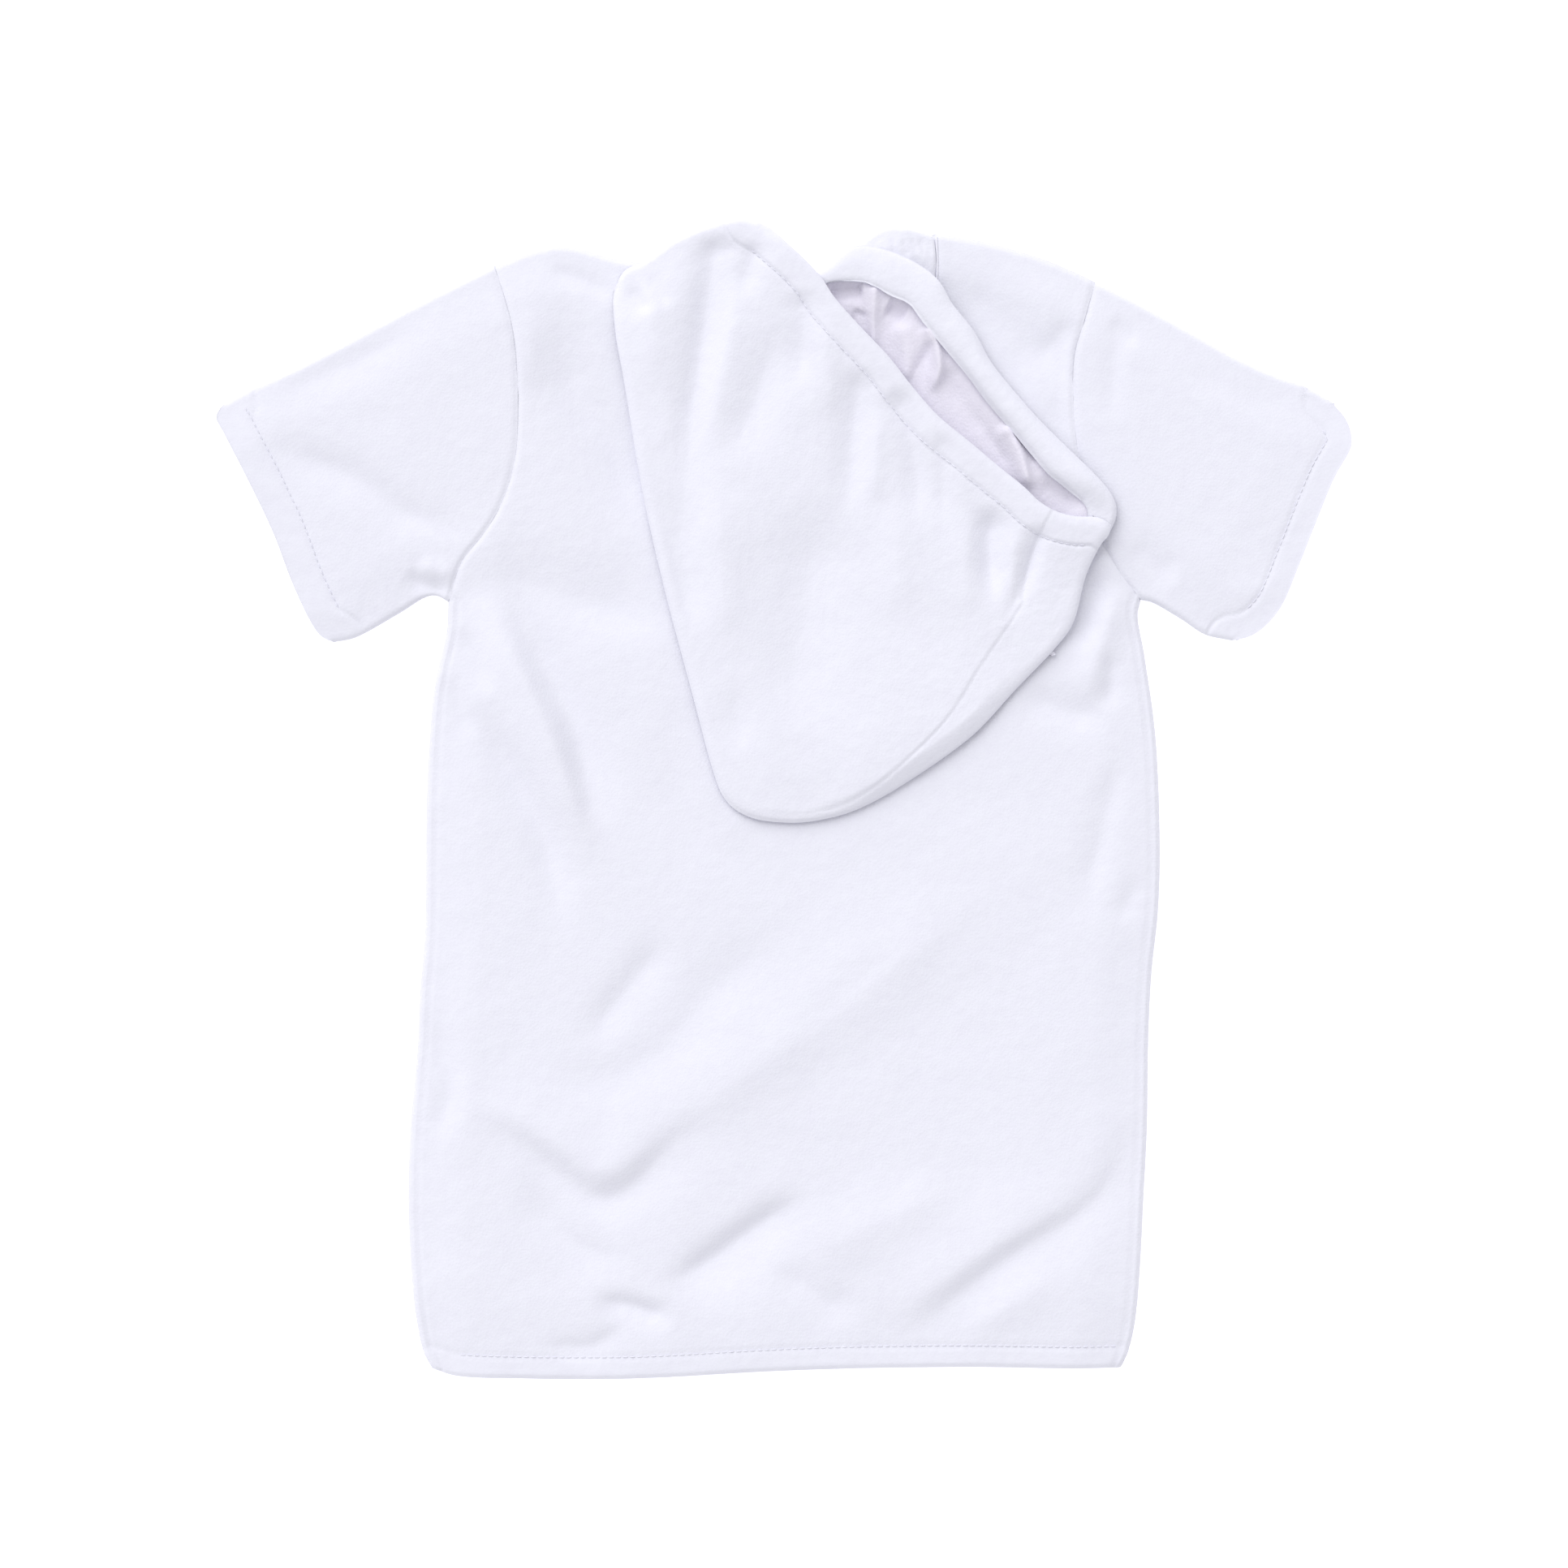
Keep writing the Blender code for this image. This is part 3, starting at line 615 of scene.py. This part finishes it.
# the sleeve is one tube: around it the upper layer, the fold at the top, the lower layer and the
# underarm; along it from the armhole to the cuff
def buildSleeve(side):
    look = sleeves[side]
    angles = np.linspace(0, np.pi / 2, sleeveShape["turnColumns"], endpoint=False)
    innerShare = sleeveShape["turn"] / sleeveShape["across"]
    edgeShares = innerShare * (1 - np.cos(angles))
    inner = np.linspace(innerShare, 1 - innerShare, sleeveShape["columns"])
    across = np.concatenate([edgeShares, inner, (1 - edgeShares)[::-1]])
    top = smoothLine(look["top"], sleeveShape["rows"])
    under = smoothLine(look["under"], sleeveShape["rows"])
    armhole = evenly(smoothLine(look["armhole"], 120), len(across), across)
    cuff = evenly(smoothLine(look["cuff"], 120), len(across), across)
    plan = fillGrid(armhole, cuff, top, under, across)
    edge = np.minimum(fromLine(plan, top)[0], fromLine(plan, under)[0])
    armDistance = fromLine(plan, armhole)[0]
    cuffDistance = fromLine(plan, cuff)[0]
    hem = look["hemDepth"]
    lie = foldField(plan, look["folds"]) + lumps(plan, sleeveShape["lumps"] + sleeveShape["nap"])
    lie += seamGroove(armDistance, *sleeveShape["armholeGroove"])
    lie += seamGroove(cuffDistance - hem, *sleeveShape["hemGroove"])
    turned = np.sqrt(np.clip(1 - (1 - np.clip(edge / sleeveShape["turn"], 0, 1)) ** 2, 0, 1))
    flatter = 1 - sleeveShape["cuffFlatter"] * (1 - smoothStep(cuffDistance, 0, sleeveShape["cuffReach"]))
    rim = sleeveShape["rimSwell"]
    swell = turned * (rim + (1 - rim) * smoothStep(edge, 0, sleeveShape["reach"])) * flatter
    upper = sleeveShape["middle"] + swell * sleeveShape["halfHeight"] + turned * lie
    lower = sleeveShape["middle"] - swell * (sleeveShape["halfHeight"] - sleeveShape["layerGap"])
    upperSheet = np.dstack([plan, upper])
    lowerSheet = np.dstack([plan, lower])
    ring = np.concatenate([upperSheet, lowerSheet[:, -2:0:-1]], axis=1)
    onHem = cuffDistance < hem
    onHem = np.concatenate([onHem, onHem[:, -2:0:-1]], axis=1)
    if side == "left":
        ring, onHem = ring[:, ::-1], onHem[:, ::-1]
    thickness = np.where(onHem, sleeveShape["hemThickness"], sleeveShape["clothThickness"])
    made = clothSheet(side + "SleeveTowelling", ring, thickness, wrap=True, hem=onHem, lining="under")
    return made, upperSheet, lowerSheet


leftSleeve, leftUpper, leftLower = buildSleeve("left")
rightSleeve, rightUpper, rightLower = buildSleeve("right")
print("sleeves made")


# ---- hood, lying on the back with its left half on top

hood = {
    "upperHeight": 17.8,
    "upperEdge": 12.7,
    "lowerHeight": 12.3,
    "clothThickness": 2.1,
    "hemThickness": 3.2,
    "hemDepth": 14.0,
    "lumps": [(0.5, 34, 21), (0.2, 12, 22), (0.1, 2.6, 23)],
    "edgeReach": 36,
    "edgeSink": 2.0,
    "edgeTurn": 5.4,
    "edgeLift": 0.5,        # towards the forehead the outer edge lies a little higher
    "crownReach": 26,
    "crownSink": 2.6,
    "crownTurn": 3.4,
    "mouthLift": 3.8,
    "mouthReach": 38,
    "hemStep": 0.6,
    "hemRim": (5, 0.6, 2.4, 1.0),
    "hemGroove": (0.6, 0.9),
    "seamGroove": (0.6, 0.8),
    "stripStep": 0.5,       # the strip outside the centre seam lies this much lower
    "rows": 280,
    "columns": 150,
}
hoodInside = {
    "mouthRise": 5.0,       # its cloth stands up towards the far hem
    "mouthReach": (2, 25),
    "hemOverlap": 0.78,     # how far across the far hem it reaches, from the outer side
    "shrink": 0.012,        # how much smaller than the left half it lies
    "edgeFall": (18, 1.2, 3.4, 0.5),
    "clothThickness": 1.8,
    "deepest": 0.1,
    "nap": [(0.1, 2.6, 33)],
    "fewerRows": 30,
    "fewerColumns": 10,
}
farHemShape = {
    "height": 21.6,
    "outerHeight": 13.4,
    "innerHeight": 18.4,
    "upperLift": 4.0,       # its upper end lies on the gathered cloth
    "upperPeak": 0.3,       # and is flatter
    "tuckHeight": 13.6,     # it dives under the near hem at its start
    "tuckShare": 0.4,
    "tipHeight": 15.6,      # and is pressed down at the tip
    "tipShare": 0.9,
    "clothThickness": 2.4,
    "lumps": [(0.35, 16, 41), (0.1, 2.6, 42)],
    "seamAt": 0.93,
    "seamGroove": (0.48, 0.05),
    "columns": 26,
}
hoodTop = [(-15, 285.0), (-24.6, 285.6), (-38.6, 282.4), (-54.6, 275.6), (-68, 266), (-78.6, 261),
           (-83.4, 253)]
nearEdge = [(-15, 285.0), (-7, 280.6), (2, 272.6), (10.4, 264.8), (18, 256.4), (24.6, 246.4),
            (36.2, 233.2), (50.6, 218), (63, 202.4), (75.8, 188), (91.4, 175.2), (104.2, 164.4),
            (117, 154), (124.6, 146.8), (132.6, 142), (142.2, 139.4), (153.4, 138.8), (160.4, 135.4)]
hoodBack = [(-83.4, 253), (-84.4, 244), (-82.6, 226), (-79, 206.4), (-69.8, 151.6), (-59, 103.6),
            (-45.8, 54), (-35, 14), (-28, -1), (-16.2, -8.6), (0, -11), (16, -10), (36.2, -4.4),
            (60.6, 9), (91.8, 31.2), (113.4, 54), (131.8, 73)]
hoodFront = [(131.8, 73), (142, 87), (148.2, 110), (155, 124.8), (158.8, 129.6), (160.4, 135.4)]
farOuter = [(14, 254), (24, 262.5), (34.6, 270.4), (44, 270), (54, 267), (65, 261.4), (74.2, 253.6),
            (80.6, 242.6), (91.4, 229.2), (99.4, 214.8), (109, 202.4), (123, 186.4), (137.4, 172),
            (151.8, 158), (159.4, 148.4), (161, 140.4), (157, 131)]
farInner = [(10, 250), (20, 254), (30, 254.6), (41, 253.4), (52, 247.6), (61.4, 243.4), (68.6, 235),
            (80.6, 221.4), (92, 208.4), (101, 196.4), (112, 183.6), (121.6, 172), (130, 162),
            (138.6, 155), (145.8, 148), (148.6, 140), (147, 131)]
hoodNeck = [(14, 252), (4, 251.5), (-20, 252.5), (-52, 257), (-82, 251)]
gathers = {
    "height": 17.4,
    "outerFall": (12, 2.2, 3.0, 3.0),
    "seamFall": (20, 4.0, 3.4, 1.9),
    "clothThickness": 1.6,
    "seamThickness": 0.7,
    "seamReach": 6,
    "nap": [(0.1, 2.6, 52)],
    "columns": 60,
    "rows": 40,
    "silhouette": [(33, 269.6), (40, 276.4), (47.8, 281.2), (56, 282.2), (66, 280.9), (73.6, 278.6)],
    "seam": [(73.6, 278.6), (74.4, 270), (74.6, 262), (73.4, 251)],
    "tucked": [(33, 264), (44, 264.4), (54, 260.6), (64, 256.2), (73.4, 251)],
    "puckers": [
        ([(45, 270.4), (47.4, 268), (49, 265.6)], -0.8, 1.6, 2.0),
        ([(52, 277), (53.6, 272), (55.4, 266)], -0.6, 1.6, 2.0),
        ([(57.4, 276), (59.6, 271), (61.6, 266.6)], -0.9, 1.5, 1.9),
        ([(61.8, 277.6), (63.8, 273), (66.2, 268)], -0.8, 1.5, 1.8),
        ([(66.4, 278), (67.8, 272), (69, 266)], -0.7, 1.4, 1.6),
        ([(71, 277), (71.4, 270), (71.6, 262)], -0.4, 1.3, 1.5),
    ],
}

hoodFolds = [
    ([(-33, 283), (-38.6, 236), (-44.6, 196), (-47, 160), (-50, 130)], -5.0, 13, 9, (0.08, 0.45)),
    ([(-24.6, 264), (-26, 234), (-32, 206), (-37, 166)], 2.6, 8, 7),
    ([(-14.6, 276), (-17, 262), (-20, 244)], -2.4, 7, 6, (0.3, 0.45)),
    ([(0, 240), (-8, 214), (-15, 194), (-28, 162)], -3.0, 12, 10),
    ([(8, 252), (9.6, 228), (5.4, 198)], -2.4, 7, 8, (0.2, 0.45)),
    ([(17.4, 242), (21.4, 214), (22, 184)], 1.8, 8, 8),
    ([(38, 214), (34.4, 186), (32.4, 160), (31.4, 128)], -3.2, 9, 8, (0.15, 0.45)),
    ([(47, 194), (44.4, 168), (44, 142)], 1.6, 5, 6),
    ([(53, 204), (62, 178), (65.4, 156), (65.4, 128)], -3.2, 7, 7, (0.15, 0.45)),
    ([(76, 182), (78, 158), (77, 132)], -1.8, 6, 6, (0.2, 0.4)),
    ([(54, 150), (56, 120), (58, 88)], 1.6, 10, 9),
    ([(18, 152), (12, 108), (7, 66), (0, 30)], -4.2, 24, 20, (0.3, 0.35)),
    ([(-34, 160), (-31, 116), (-26.6, 66)], 2.2, 11, 11),
    ([(-54, 156), (-49, 116), (-42, 80)], -2.2, 8, 8),
    ([(-27, 62), (-19, 20)], -2.0, 8, 8, (0.45, 0.45)),
    ([(102, 146), (100.6, 122), (104, 92)], -4.6, 7, 7, (0.25, 0.45)),
    ([(113, 138), (112, 116), (112, 92)], 1.8, 6, 5),
    ([(126, 136), (120, 114), (113, 97), (105, 84)], -3.2, 4, 5, (0.15, 0.5)),
    ([(89, 146), (90, 120), (90, 88)], 1.6, 9, 8),
    ([(8, -2), (38, 8), (66, 24), (92, 46), (110, 76)], 2.6, 32, 22, (0.3, 0.3)),
    ([(-72, 266), (-66, 240), (-62, 200)], 1.6, 9, 8),
    ([(-80, 253), (-73, 248.6), (-66, 238)], -2.2, 4.5, 4.5),
    ([(-70, 260), (-63, 252), (-56, 240)], -1.2, 5, 5),
]
mouthFolds = [
    ([(21, 249.6), (30, 250.2), (39, 251.4)], -5.5, 4.5, 4, (0.15, 0.15)),
    ([(38, 241), (36.4, 237), (35, 233)], -3.4, 2.4, 2.4, (0.2, 0.2)),
    ([(50, 243), (55, 240.6), (60, 238)], -4.4, 4.4, 4, (0.2, 0.2)),
    ([(24, 244), (28, 239), (33, 233)], 1.6, 4, 4),
    ([(44.4, 254), (44, 244), (43.6, 232), (44, 220)], 3.0, 2.6, 2.8, (0.1, 0.2)),
    ([(57, 236), (60, 220), (60, 204)], 2.6, 5, 4.5, (0.2, 0.2)),
    ([(72.6, 227), (69.6, 218), (66, 208), (66, 200)], -3.0, 2.8, 3.2, (0.2, 0.2)),
    ([(69.6, 234), (74.6, 222), (76, 210), (72, 200)], 4.2, 2.4, 2.8, (0.1, 0.25)),
    ([(78, 214), (84, 202), (93, 188), (98, 180)], -2.4, 6.5, 6, (0.2, 0.3)),
    ([(92, 192), (103, 176), (113, 160)], -2.4, 4, 4.6),
    ([(112, 183), (119, 175), (126, 166)], -2.4, 2.4, 2.4, (0.2, 0.2)),
    ([(106, 186), (112, 178), (117, 166), (121, 152)], 4.0, 2.6, 4.4, (0.15, 0.2)),
    ([(124, 160), (134, 151), (147, 143)], -2.6, 5, 6),
]


# the centre seam starts close to the outer fold and swings inward towards the forehead
centreSeam = {"start": 4.0, "swing": 25.0, "from": 0.58, "to": 0.96}


def seamInset(share):
    return centreSeam["start"] + centreSeam["swing"] * smoothStep(share, centreSeam["from"], centreSeam["to"])


# the left half, on top: the opening's hem is its near edge, the centre seam lies a little inside
# its outer fold
def buildHoodUpper():
    rows, cols = hood["rows"], hood["columns"]
    near = smoothLine(nearEdge, rows)
    outer = smoothLine(hoodBack, rows)
    crown = smoothLine(hoodTop, cols)
    front = smoothLine(hoodFront, cols)
    plan = fillGrid(crown, front[::-1], near, outer)
    nearDistance = fromLine(plan, near)[0]
    outerDistance, _, share = fromLine(plan, evenly(np.vstack([outer, front[1:]]), 160))
    crownDistance = fromLine(plan, crown)[0]
    inset = seamInset(share)
    calm = smoothStep(outerDistance, 1, 9) * smoothStep(crownDistance, 0, 16)
    z = hood["upperHeight"] + calm * foldField(plan, hoodFolds) + lumps(plan, hood["lumps"])
    onStrip = smoothStep(inset - outerDistance, -1.0, 1.8) * smoothStep(inset, 5, 14)
    z -= hood["stripStep"] * onStrip * (1 - 0.8 * smoothStep(inset - outerDistance, 2, 14))
    z += seamGroove(outerDistance - inset, *hood["seamGroove"]) * smoothStep(share, 0.48, 0.6)
    drop = hood["upperHeight"] - hood["upperEdge"] - hood["edgeSink"]
    z -= edgeFall(outerDistance, hood["edgeReach"], hood["edgeSink"], hood["edgeTurn"], drop)
    beside = 1 - smoothStep(outerDistance, 0, hood["edgeReach"])
    z += hood["edgeLift"] * smoothStep(share, 0.45, 0.6) * beside
    z -= edgeFall(crownDistance, hood["crownReach"], hood["crownSink"], hood["crownTurn"], drop)
    z += hood["mouthLift"] * (1 - smoothStep(nearDistance, 0, hood["mouthReach"]))
    z += hood["hemStep"] * (1 - smoothStep(nearDistance, hood["hemDepth"] - 0.8, hood["hemDepth"] + 0.4))
    z += seamGroove(nearDistance - hood["hemDepth"], *hood["hemGroove"])
    z -= edgeFall(nearDistance, *hood["hemRim"])
    onHem = nearDistance < hood["hemDepth"]
    thickness = np.where(onHem, hood["hemThickness"], hood["clothThickness"])
    grid = np.dstack([plan, z])
    return clothSheet("hoodLeftHalf", grid, thickness, hem=onHem, lining="under"), grid


# the right half, underneath: it shows its inside through the opening, in deep folds
def buildHoodLower():
    rows, cols = hood["rows"] - hoodInside["fewerRows"], hood["columns"] - hoodInside["fewerColumns"]
    inward = hoodInside["hemOverlap"]
    far = smoothLine(np.array(farOuter) * (1 - inward) + np.array(farInner) * inward, rows)
    outline = np.array(hoodBack + hoodFront[1:-2], float)
    centre = np.array(hoodBack).mean(axis=0)
    outer = smoothLine(outline + (centre - outline) * hoodInside["shrink"], rows)
    neck = evenly(np.vstack([far[:1], smoothLine(hoodNeck, 60)[1:-1], outer[:1]]), cols)
    front = smoothLine([far[-1], (far[-1] + outer[-1]) / 2, outer[-1]], cols)
    plan = fillGrid(neck, front, far, outer)
    farDistance = fromLine(plan, far)[0]
    outerDistance = fromLine(plan, outer)[0]
    z = hoodInside["mouthRise"] * (1 - smoothStep(farDistance, *hoodInside["mouthReach"]))
    z += hood["lowerHeight"]
    z += foldField(plan, mouthFolds) * smoothStep(farDistance, 0, 2.5)
    z = np.maximum(z, hood["lowerHeight"] - hoodInside["deepest"]) + lumps(plan, hoodInside["nap"])
    z -= edgeFall(outerDistance, *hoodInside["edgeFall"])
    return clothSheet("hoodRightHalf", np.dstack([plan, z]), hoodInside["clothThickness"], lining="over")


# the rolled hem along the far side of the opening
def buildFarHem():
    look = farHemShape
    rows = hood["rows"]
    outer = smoothLine(farOuter, rows)
    inner = smoothLine(farInner, rows)
    across = np.linspace(0, 1, look["columns"])[None, :, None]
    plan = outer[:, None] * (1 - across) + inner[:, None] * across
    u = across[..., 0]
    t = np.linspace(0, 1, rows)[:, None]
    arch = np.sin(np.pi * u ** 0.85) ** 0.7
    base = look["outerHeight"] * (1 - u) + look["innerHeight"] * u
    base = base + look["upperLift"] * (1 - u) * (1 - smoothStep(t, 0.3, 0.5))
    peak = look["height"] - 0.5 * (look["outerHeight"] + look["innerHeight"])
    peak = peak * (look["upperPeak"] + (1 - look["upperPeak"]) * smoothStep(t, 0.2, 0.55))
    z = base + peak * arch
    z -= (1 - smoothStep(t, 0.0, 0.3)) * (z - look["tuckHeight"]) * look["tuckShare"]
    z -= smoothStep(t, 0.84, 0.96) * np.maximum(z - look["tipHeight"], 0) * look["tipShare"]
    z += lumps(plan, look["lumps"]) + seamGroove(u - look["seamAt"], *look["seamGroove"])
    return clothSheet("hoodRightHem", np.dstack([plan, z])[:, ::-1], look["clothThickness"])


# cloth gathered into the neck seam where the hood leaves the right shoulder
def buildGathers():
    cols, rows = gathers["columns"], gathers["rows"]
    silhouette = smoothLine(gathers["silhouette"], cols)
    tucked = smoothLine(gathers["tucked"], cols)
    left = np.linspace(tucked[0], silhouette[0], rows)
    right = smoothLine(gathers["seam"], rows)[::-1]
    plan = fillGrid(tucked, silhouette, left, right)
    outward = fromLine(plan, silhouette)[0]
    seam = fromLine(plan, right)[0]
    z = gathers["height"] + foldField(plan, gathers["puckers"]) + lumps(plan, gathers["nap"])
    z -= edgeFall(outward, *gathers["outerFall"])
    z -= edgeFall(seam, *gathers["seamFall"])
    thin, full = gathers["seamThickness"], gathers["clothThickness"]
    thickness = thin + (full - thin) * smoothStep(seam, 0, gathers["seamReach"])
    return clothSheet("hoodNeckGathers", np.dstack([plan, z]), thickness)


back, backGrid = buildBack()
front, frontGrid = buildFront()
print("body panels made")
hoodUpper, hoodGrid = buildHoodUpper()
hoodLower = buildHoodLower()
farHem = buildFarHem()
neckGathers = buildGathers()
print("hood made")


# ---- seams and stitching

# twisted sewing thread: real stitches are 2.5 to 3 mm long and 0.3 mm thick, drawn 0.5 mm thick so
# that they show
thread = {"stitch": 2.7, "gap": 0.8, "radius": 0.24, "sink": 0.25, "lift": 0.25, "sides": 6}
bottomStitching = {"from": -172, "to": 168, "frontLift": 0.1}
neckCord = {"radius": 0.55, "pitch": 1.6, "lift": 0.35, "ridge": 0.16, "sides": 10}
neckSeamLine = [(-70, 263.5), (-40, 256), (0, 252), (36, 254), (62, 250.5), (73, 251.4), (74.9, 256),
                (75.2, 266), (74.9, 277.6)]


# stitches one after another along a line, each with its two ends sunk into the cloth
def stitchRow(lines):
    verts, faces = [], []
    sides = thread["sides"]
    shares = np.array([0, 0.14, 0.5, 0.86, 1])
    radii = thread["radius"] * np.array([0.35, 0.9, 1.1, 0.9, 0.35])
    sinks = thread["sink"] * np.array([1, 0.35, 0, 0.35, 1])
    angles = np.linspace(0, 2 * np.pi, sides, endpoint=False)
    for line in lines:
        length = np.linalg.norm(np.diff(line, axis=0), axis=1).sum()
        pitch = thread["stitch"] + thread["gap"]
        for k in range(int(length // pitch)):
            points = evenly(line, len(shares), (k * pitch + shares * thread["stitch"]) / length)
            along = points[-1] - points[0]
            along /= np.linalg.norm(along)
            sideways = np.cross(along, (0, 0, 1))
            upward = np.cross(sideways, along)
            points = points - sinks[:, None] * upward
            start = len(verts) * sides * len(shares)
            ring = np.cos(angles)[None, :, None] * sideways + np.sin(angles)[None, :, None] * upward
            verts.append((points[:, None] + radii[:, None, None] * ring).reshape(-1, 3))
            for j in range(len(shares) - 1):
                for i in range(sides):
                    a, b = start + j * sides + i, start + j * sides + (i + 1) % sides
                    faces.append((a, a + sides, b + sides, b))
            faces.append(tuple(start + i for i in range(sides)))
            faces.append(tuple(start + (len(shares) - 1) * sides + i for i in reversed(range(sides))))
    return np.vstack(verts), faces


def makeStitches(name, lines):
    made = makeMesh(name, *stitchRow(lines))
    made.data.materials.append(sewingThread)
    return made


# an overlocked seam: a narrow cord of cloth with thread wound over it
def makeSeamCord(name, path, look):
    sides = look["sides"]
    along = np.gradient(path, axis=0)
    along /= np.linalg.norm(along, axis=1, keepdims=True)
    sideways = np.cross(along, (0, 0, 1))
    sideways /= np.linalg.norm(sideways, axis=1, keepdims=True)
    upward = np.cross(sideways, along)
    travel = np.concatenate([[0], np.cumsum(np.linalg.norm(np.diff(path, axis=0), axis=1))])
    angles = np.linspace(0, 2 * np.pi, sides, endpoint=False)
    turns = 2 * np.pi * travel[:, None] / look["pitch"] + angles[None]
    wound = look["radius"] * (1 + look["ridge"] * np.cos(turns))
    ring = (np.cos(angles)[None, :, None] * sideways[:, None]
            + np.sin(angles)[None, :, None] * upward[:, None])
    verts = (path[:, None] + wound[..., None] * ring).reshape(-1, 3)
    faces = []
    for j in range(len(path) - 1):
        for i in range(sides):
            a, b = j * sides + i, j * sides + (i + 1) % sides
            faces.append((a, a + sides, b + sides, b))
    last = (len(path) - 1) * sides
    faces.append(tuple(range(sides)))
    faces.append(tuple(last + i for i in reversed(range(sides))))
    made = makeMesh(name, verts, faces)
    made.data.materials.append(overlockThread)
    return made


hemLine = smoothLine([(x, y + body["hemDepth"]) for x, y in bottomEdge[1:]], 300)
hemLine = hemLine[(hemLine[:, 0] > bottomStitching["from"]) & (hemLine[:, 0] < bottomStitching["to"])]
backStitches = onSurface(backGrid, hemLine, thread["lift"])
frontStitches = onSurface(frontGrid, hemLine, bottomStitching["frontLift"] - frontPanel["hemThickness"])
bodyStitches = makeStitches("bottomHemStitches", [backStitches, frontStitches])

sleeveStitches = {}
for side, upper, lower in (("left", leftUpper, leftLower), ("right", rightUpper, rightLower)):
    cuff = smoothLine(sleeves[side]["cuff"], 200)
    turn = 1 if side == "left" else -1
    line = offsetLine(cuff, turn * sleeves[side]["hemDepth"])[14:-14]
    rows = [onSurface(upper, line, thread["lift"]), onSurface(lower, line, -thread["lift"])]
    sleeveStitches[side] = makeStitches(side + "SleeveHemStitches", rows)

nearLine = offsetLine(smoothLine(nearEdge, 300), -hood["hemDepth"])[8:-16]
hoodStitches = makeStitches("hoodHemStitches", [onSurface(hoodGrid, nearLine, thread["lift"])])

neckPath = onSurface(backGrid, smoothLine(neckSeamLine, 260), neckCord["lift"])
neckSeam = makeSeamCord("neckSeamOverlock", neckPath, neckCord)
print("seams and stitches made")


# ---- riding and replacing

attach(back, "torso")
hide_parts("back_panel", "back_hem", "left_shoulder_seam", "right_shoulder_seam")
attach(front, "torso")
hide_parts("front_panel", "front_hem", "left_side_seam", "right_side_seam")
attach(bodyStitches, "torso")
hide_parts("bottom_hem_stitching")
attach(neckSeam, "torso")
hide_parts("neck_seam")

for side, made, start, end in (("left", leftSleeve, (-0.150, 0.1815, 0.006), (-0.172, 0.1785, 0.006)),
                               ("right", rightSleeve, (0.159, 0.1775, 0.006), (0.181, 0.181, 0.006))):
    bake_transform(made)
    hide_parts(side + "_sleeve", side + "_sleeve_head", side + "_sleeve_hem",
                side + "_underarm_seam", side + "_armhole_seam")
    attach(sleeveStitches[side], side + "_arm")
    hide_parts(side + "_sleeve_hem_stitching")

for made in (hoodUpper, hoodLower, farHem, neckGathers, hoodStitches):
    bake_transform(made)
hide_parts("hood_left_panel", "hood_left_hem", "hood_centre_seam")
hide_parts("hood_right_panel")
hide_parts("hood_right_hem")
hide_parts("hood_hem_stitching")


# ---- table, light and camera

studio = {
    "tableSize": 14.0,
    "tableDrop": 0.0004,
    "tableColour": "#fbfbfd",
    "cameraCentre": (-0.0002, 0.008),
    "lensMm": 85.0,
    "sensorMm": 36.0,
    "viewWidth": 0.7728,
    "focusHeight": 0.010,
    "skyStrength": 0.795,
    "boxStrength": 1.70,
    "boxSpread": 50.0,
    "boxTilt": 50.0,
    "boxTurn": 30.0,
    "tableGlow": 0.45,
}


def makeTable():
    bpy.ops.mesh.primitive_plane_add(size=studio["tableSize"], location=(0, 0, -studio["tableDrop"]))
    table = bpy.context.object
    table.name = "studioTable"
    made = bpy.data.materials.new("mattWhitePaintedBoard")
    made.use_nodes = True
    shader = made.node_tree.nodes["Principled BSDF"]
    shader.inputs["Base Color"].default_value = linear(studio["tableColour"])
    shader.inputs["Roughness"].default_value = 0.9
    shader.inputs["Specular IOR Level"].default_value = 0.1
    shader.inputs["Emission Color"].default_value = (1, 1, 1, 1)  # backlit, so that it stays white
    shader.inputs["Emission Strength"].default_value = studio["tableGlow"]
    table.data.materials.append(made)


def makeLight():
    world = bpy.data.worlds.new("studioSky")
    bpy.context.scene.world = world
    world.use_nodes = True
    background = world.node_tree.nodes["Background"]
    background.inputs["Color"].default_value = (1, 1, 1, 1)
    background.inputs["Strength"].default_value = studio["skyStrength"]
    box = bpy.data.lights.new("distantSoftbox", "SUN")
    box.energy = studio["boxStrength"]
    box.angle = np.radians(studio["boxSpread"])
    boxObject = bpy.data.objects.new("distantSoftbox", box)
    bpy.context.scene.collection.objects.link(boxObject)
    boxObject.rotation_euler = (np.radians(-studio["boxTilt"]), 0, np.radians(studio["boxTurn"]))


def makeCamera():
    camera = bpy.data.cameras.new("copyStandCamera")
    camera.lens, camera.sensor_width = studio["lensMm"], studio["sensorMm"]
    camera.clip_start = 0.05
    cameraObject = bpy.data.objects.new("copyStandCamera", camera)
    bpy.context.scene.collection.objects.link(cameraObject)
    height = studio["viewWidth"] * studio["lensMm"] / studio["sensorMm"] + studio["focusHeight"]
    cameraObject.location = (*studio["cameraCentre"], height)
    bpy.context.scene.camera = cameraObject


makeTable()
makeLight()
makeCamera()
bpy.context.scene.view_settings.view_transform = "Standard"
bpy.context.scene.view_settings.look = "None"
print("studio made")
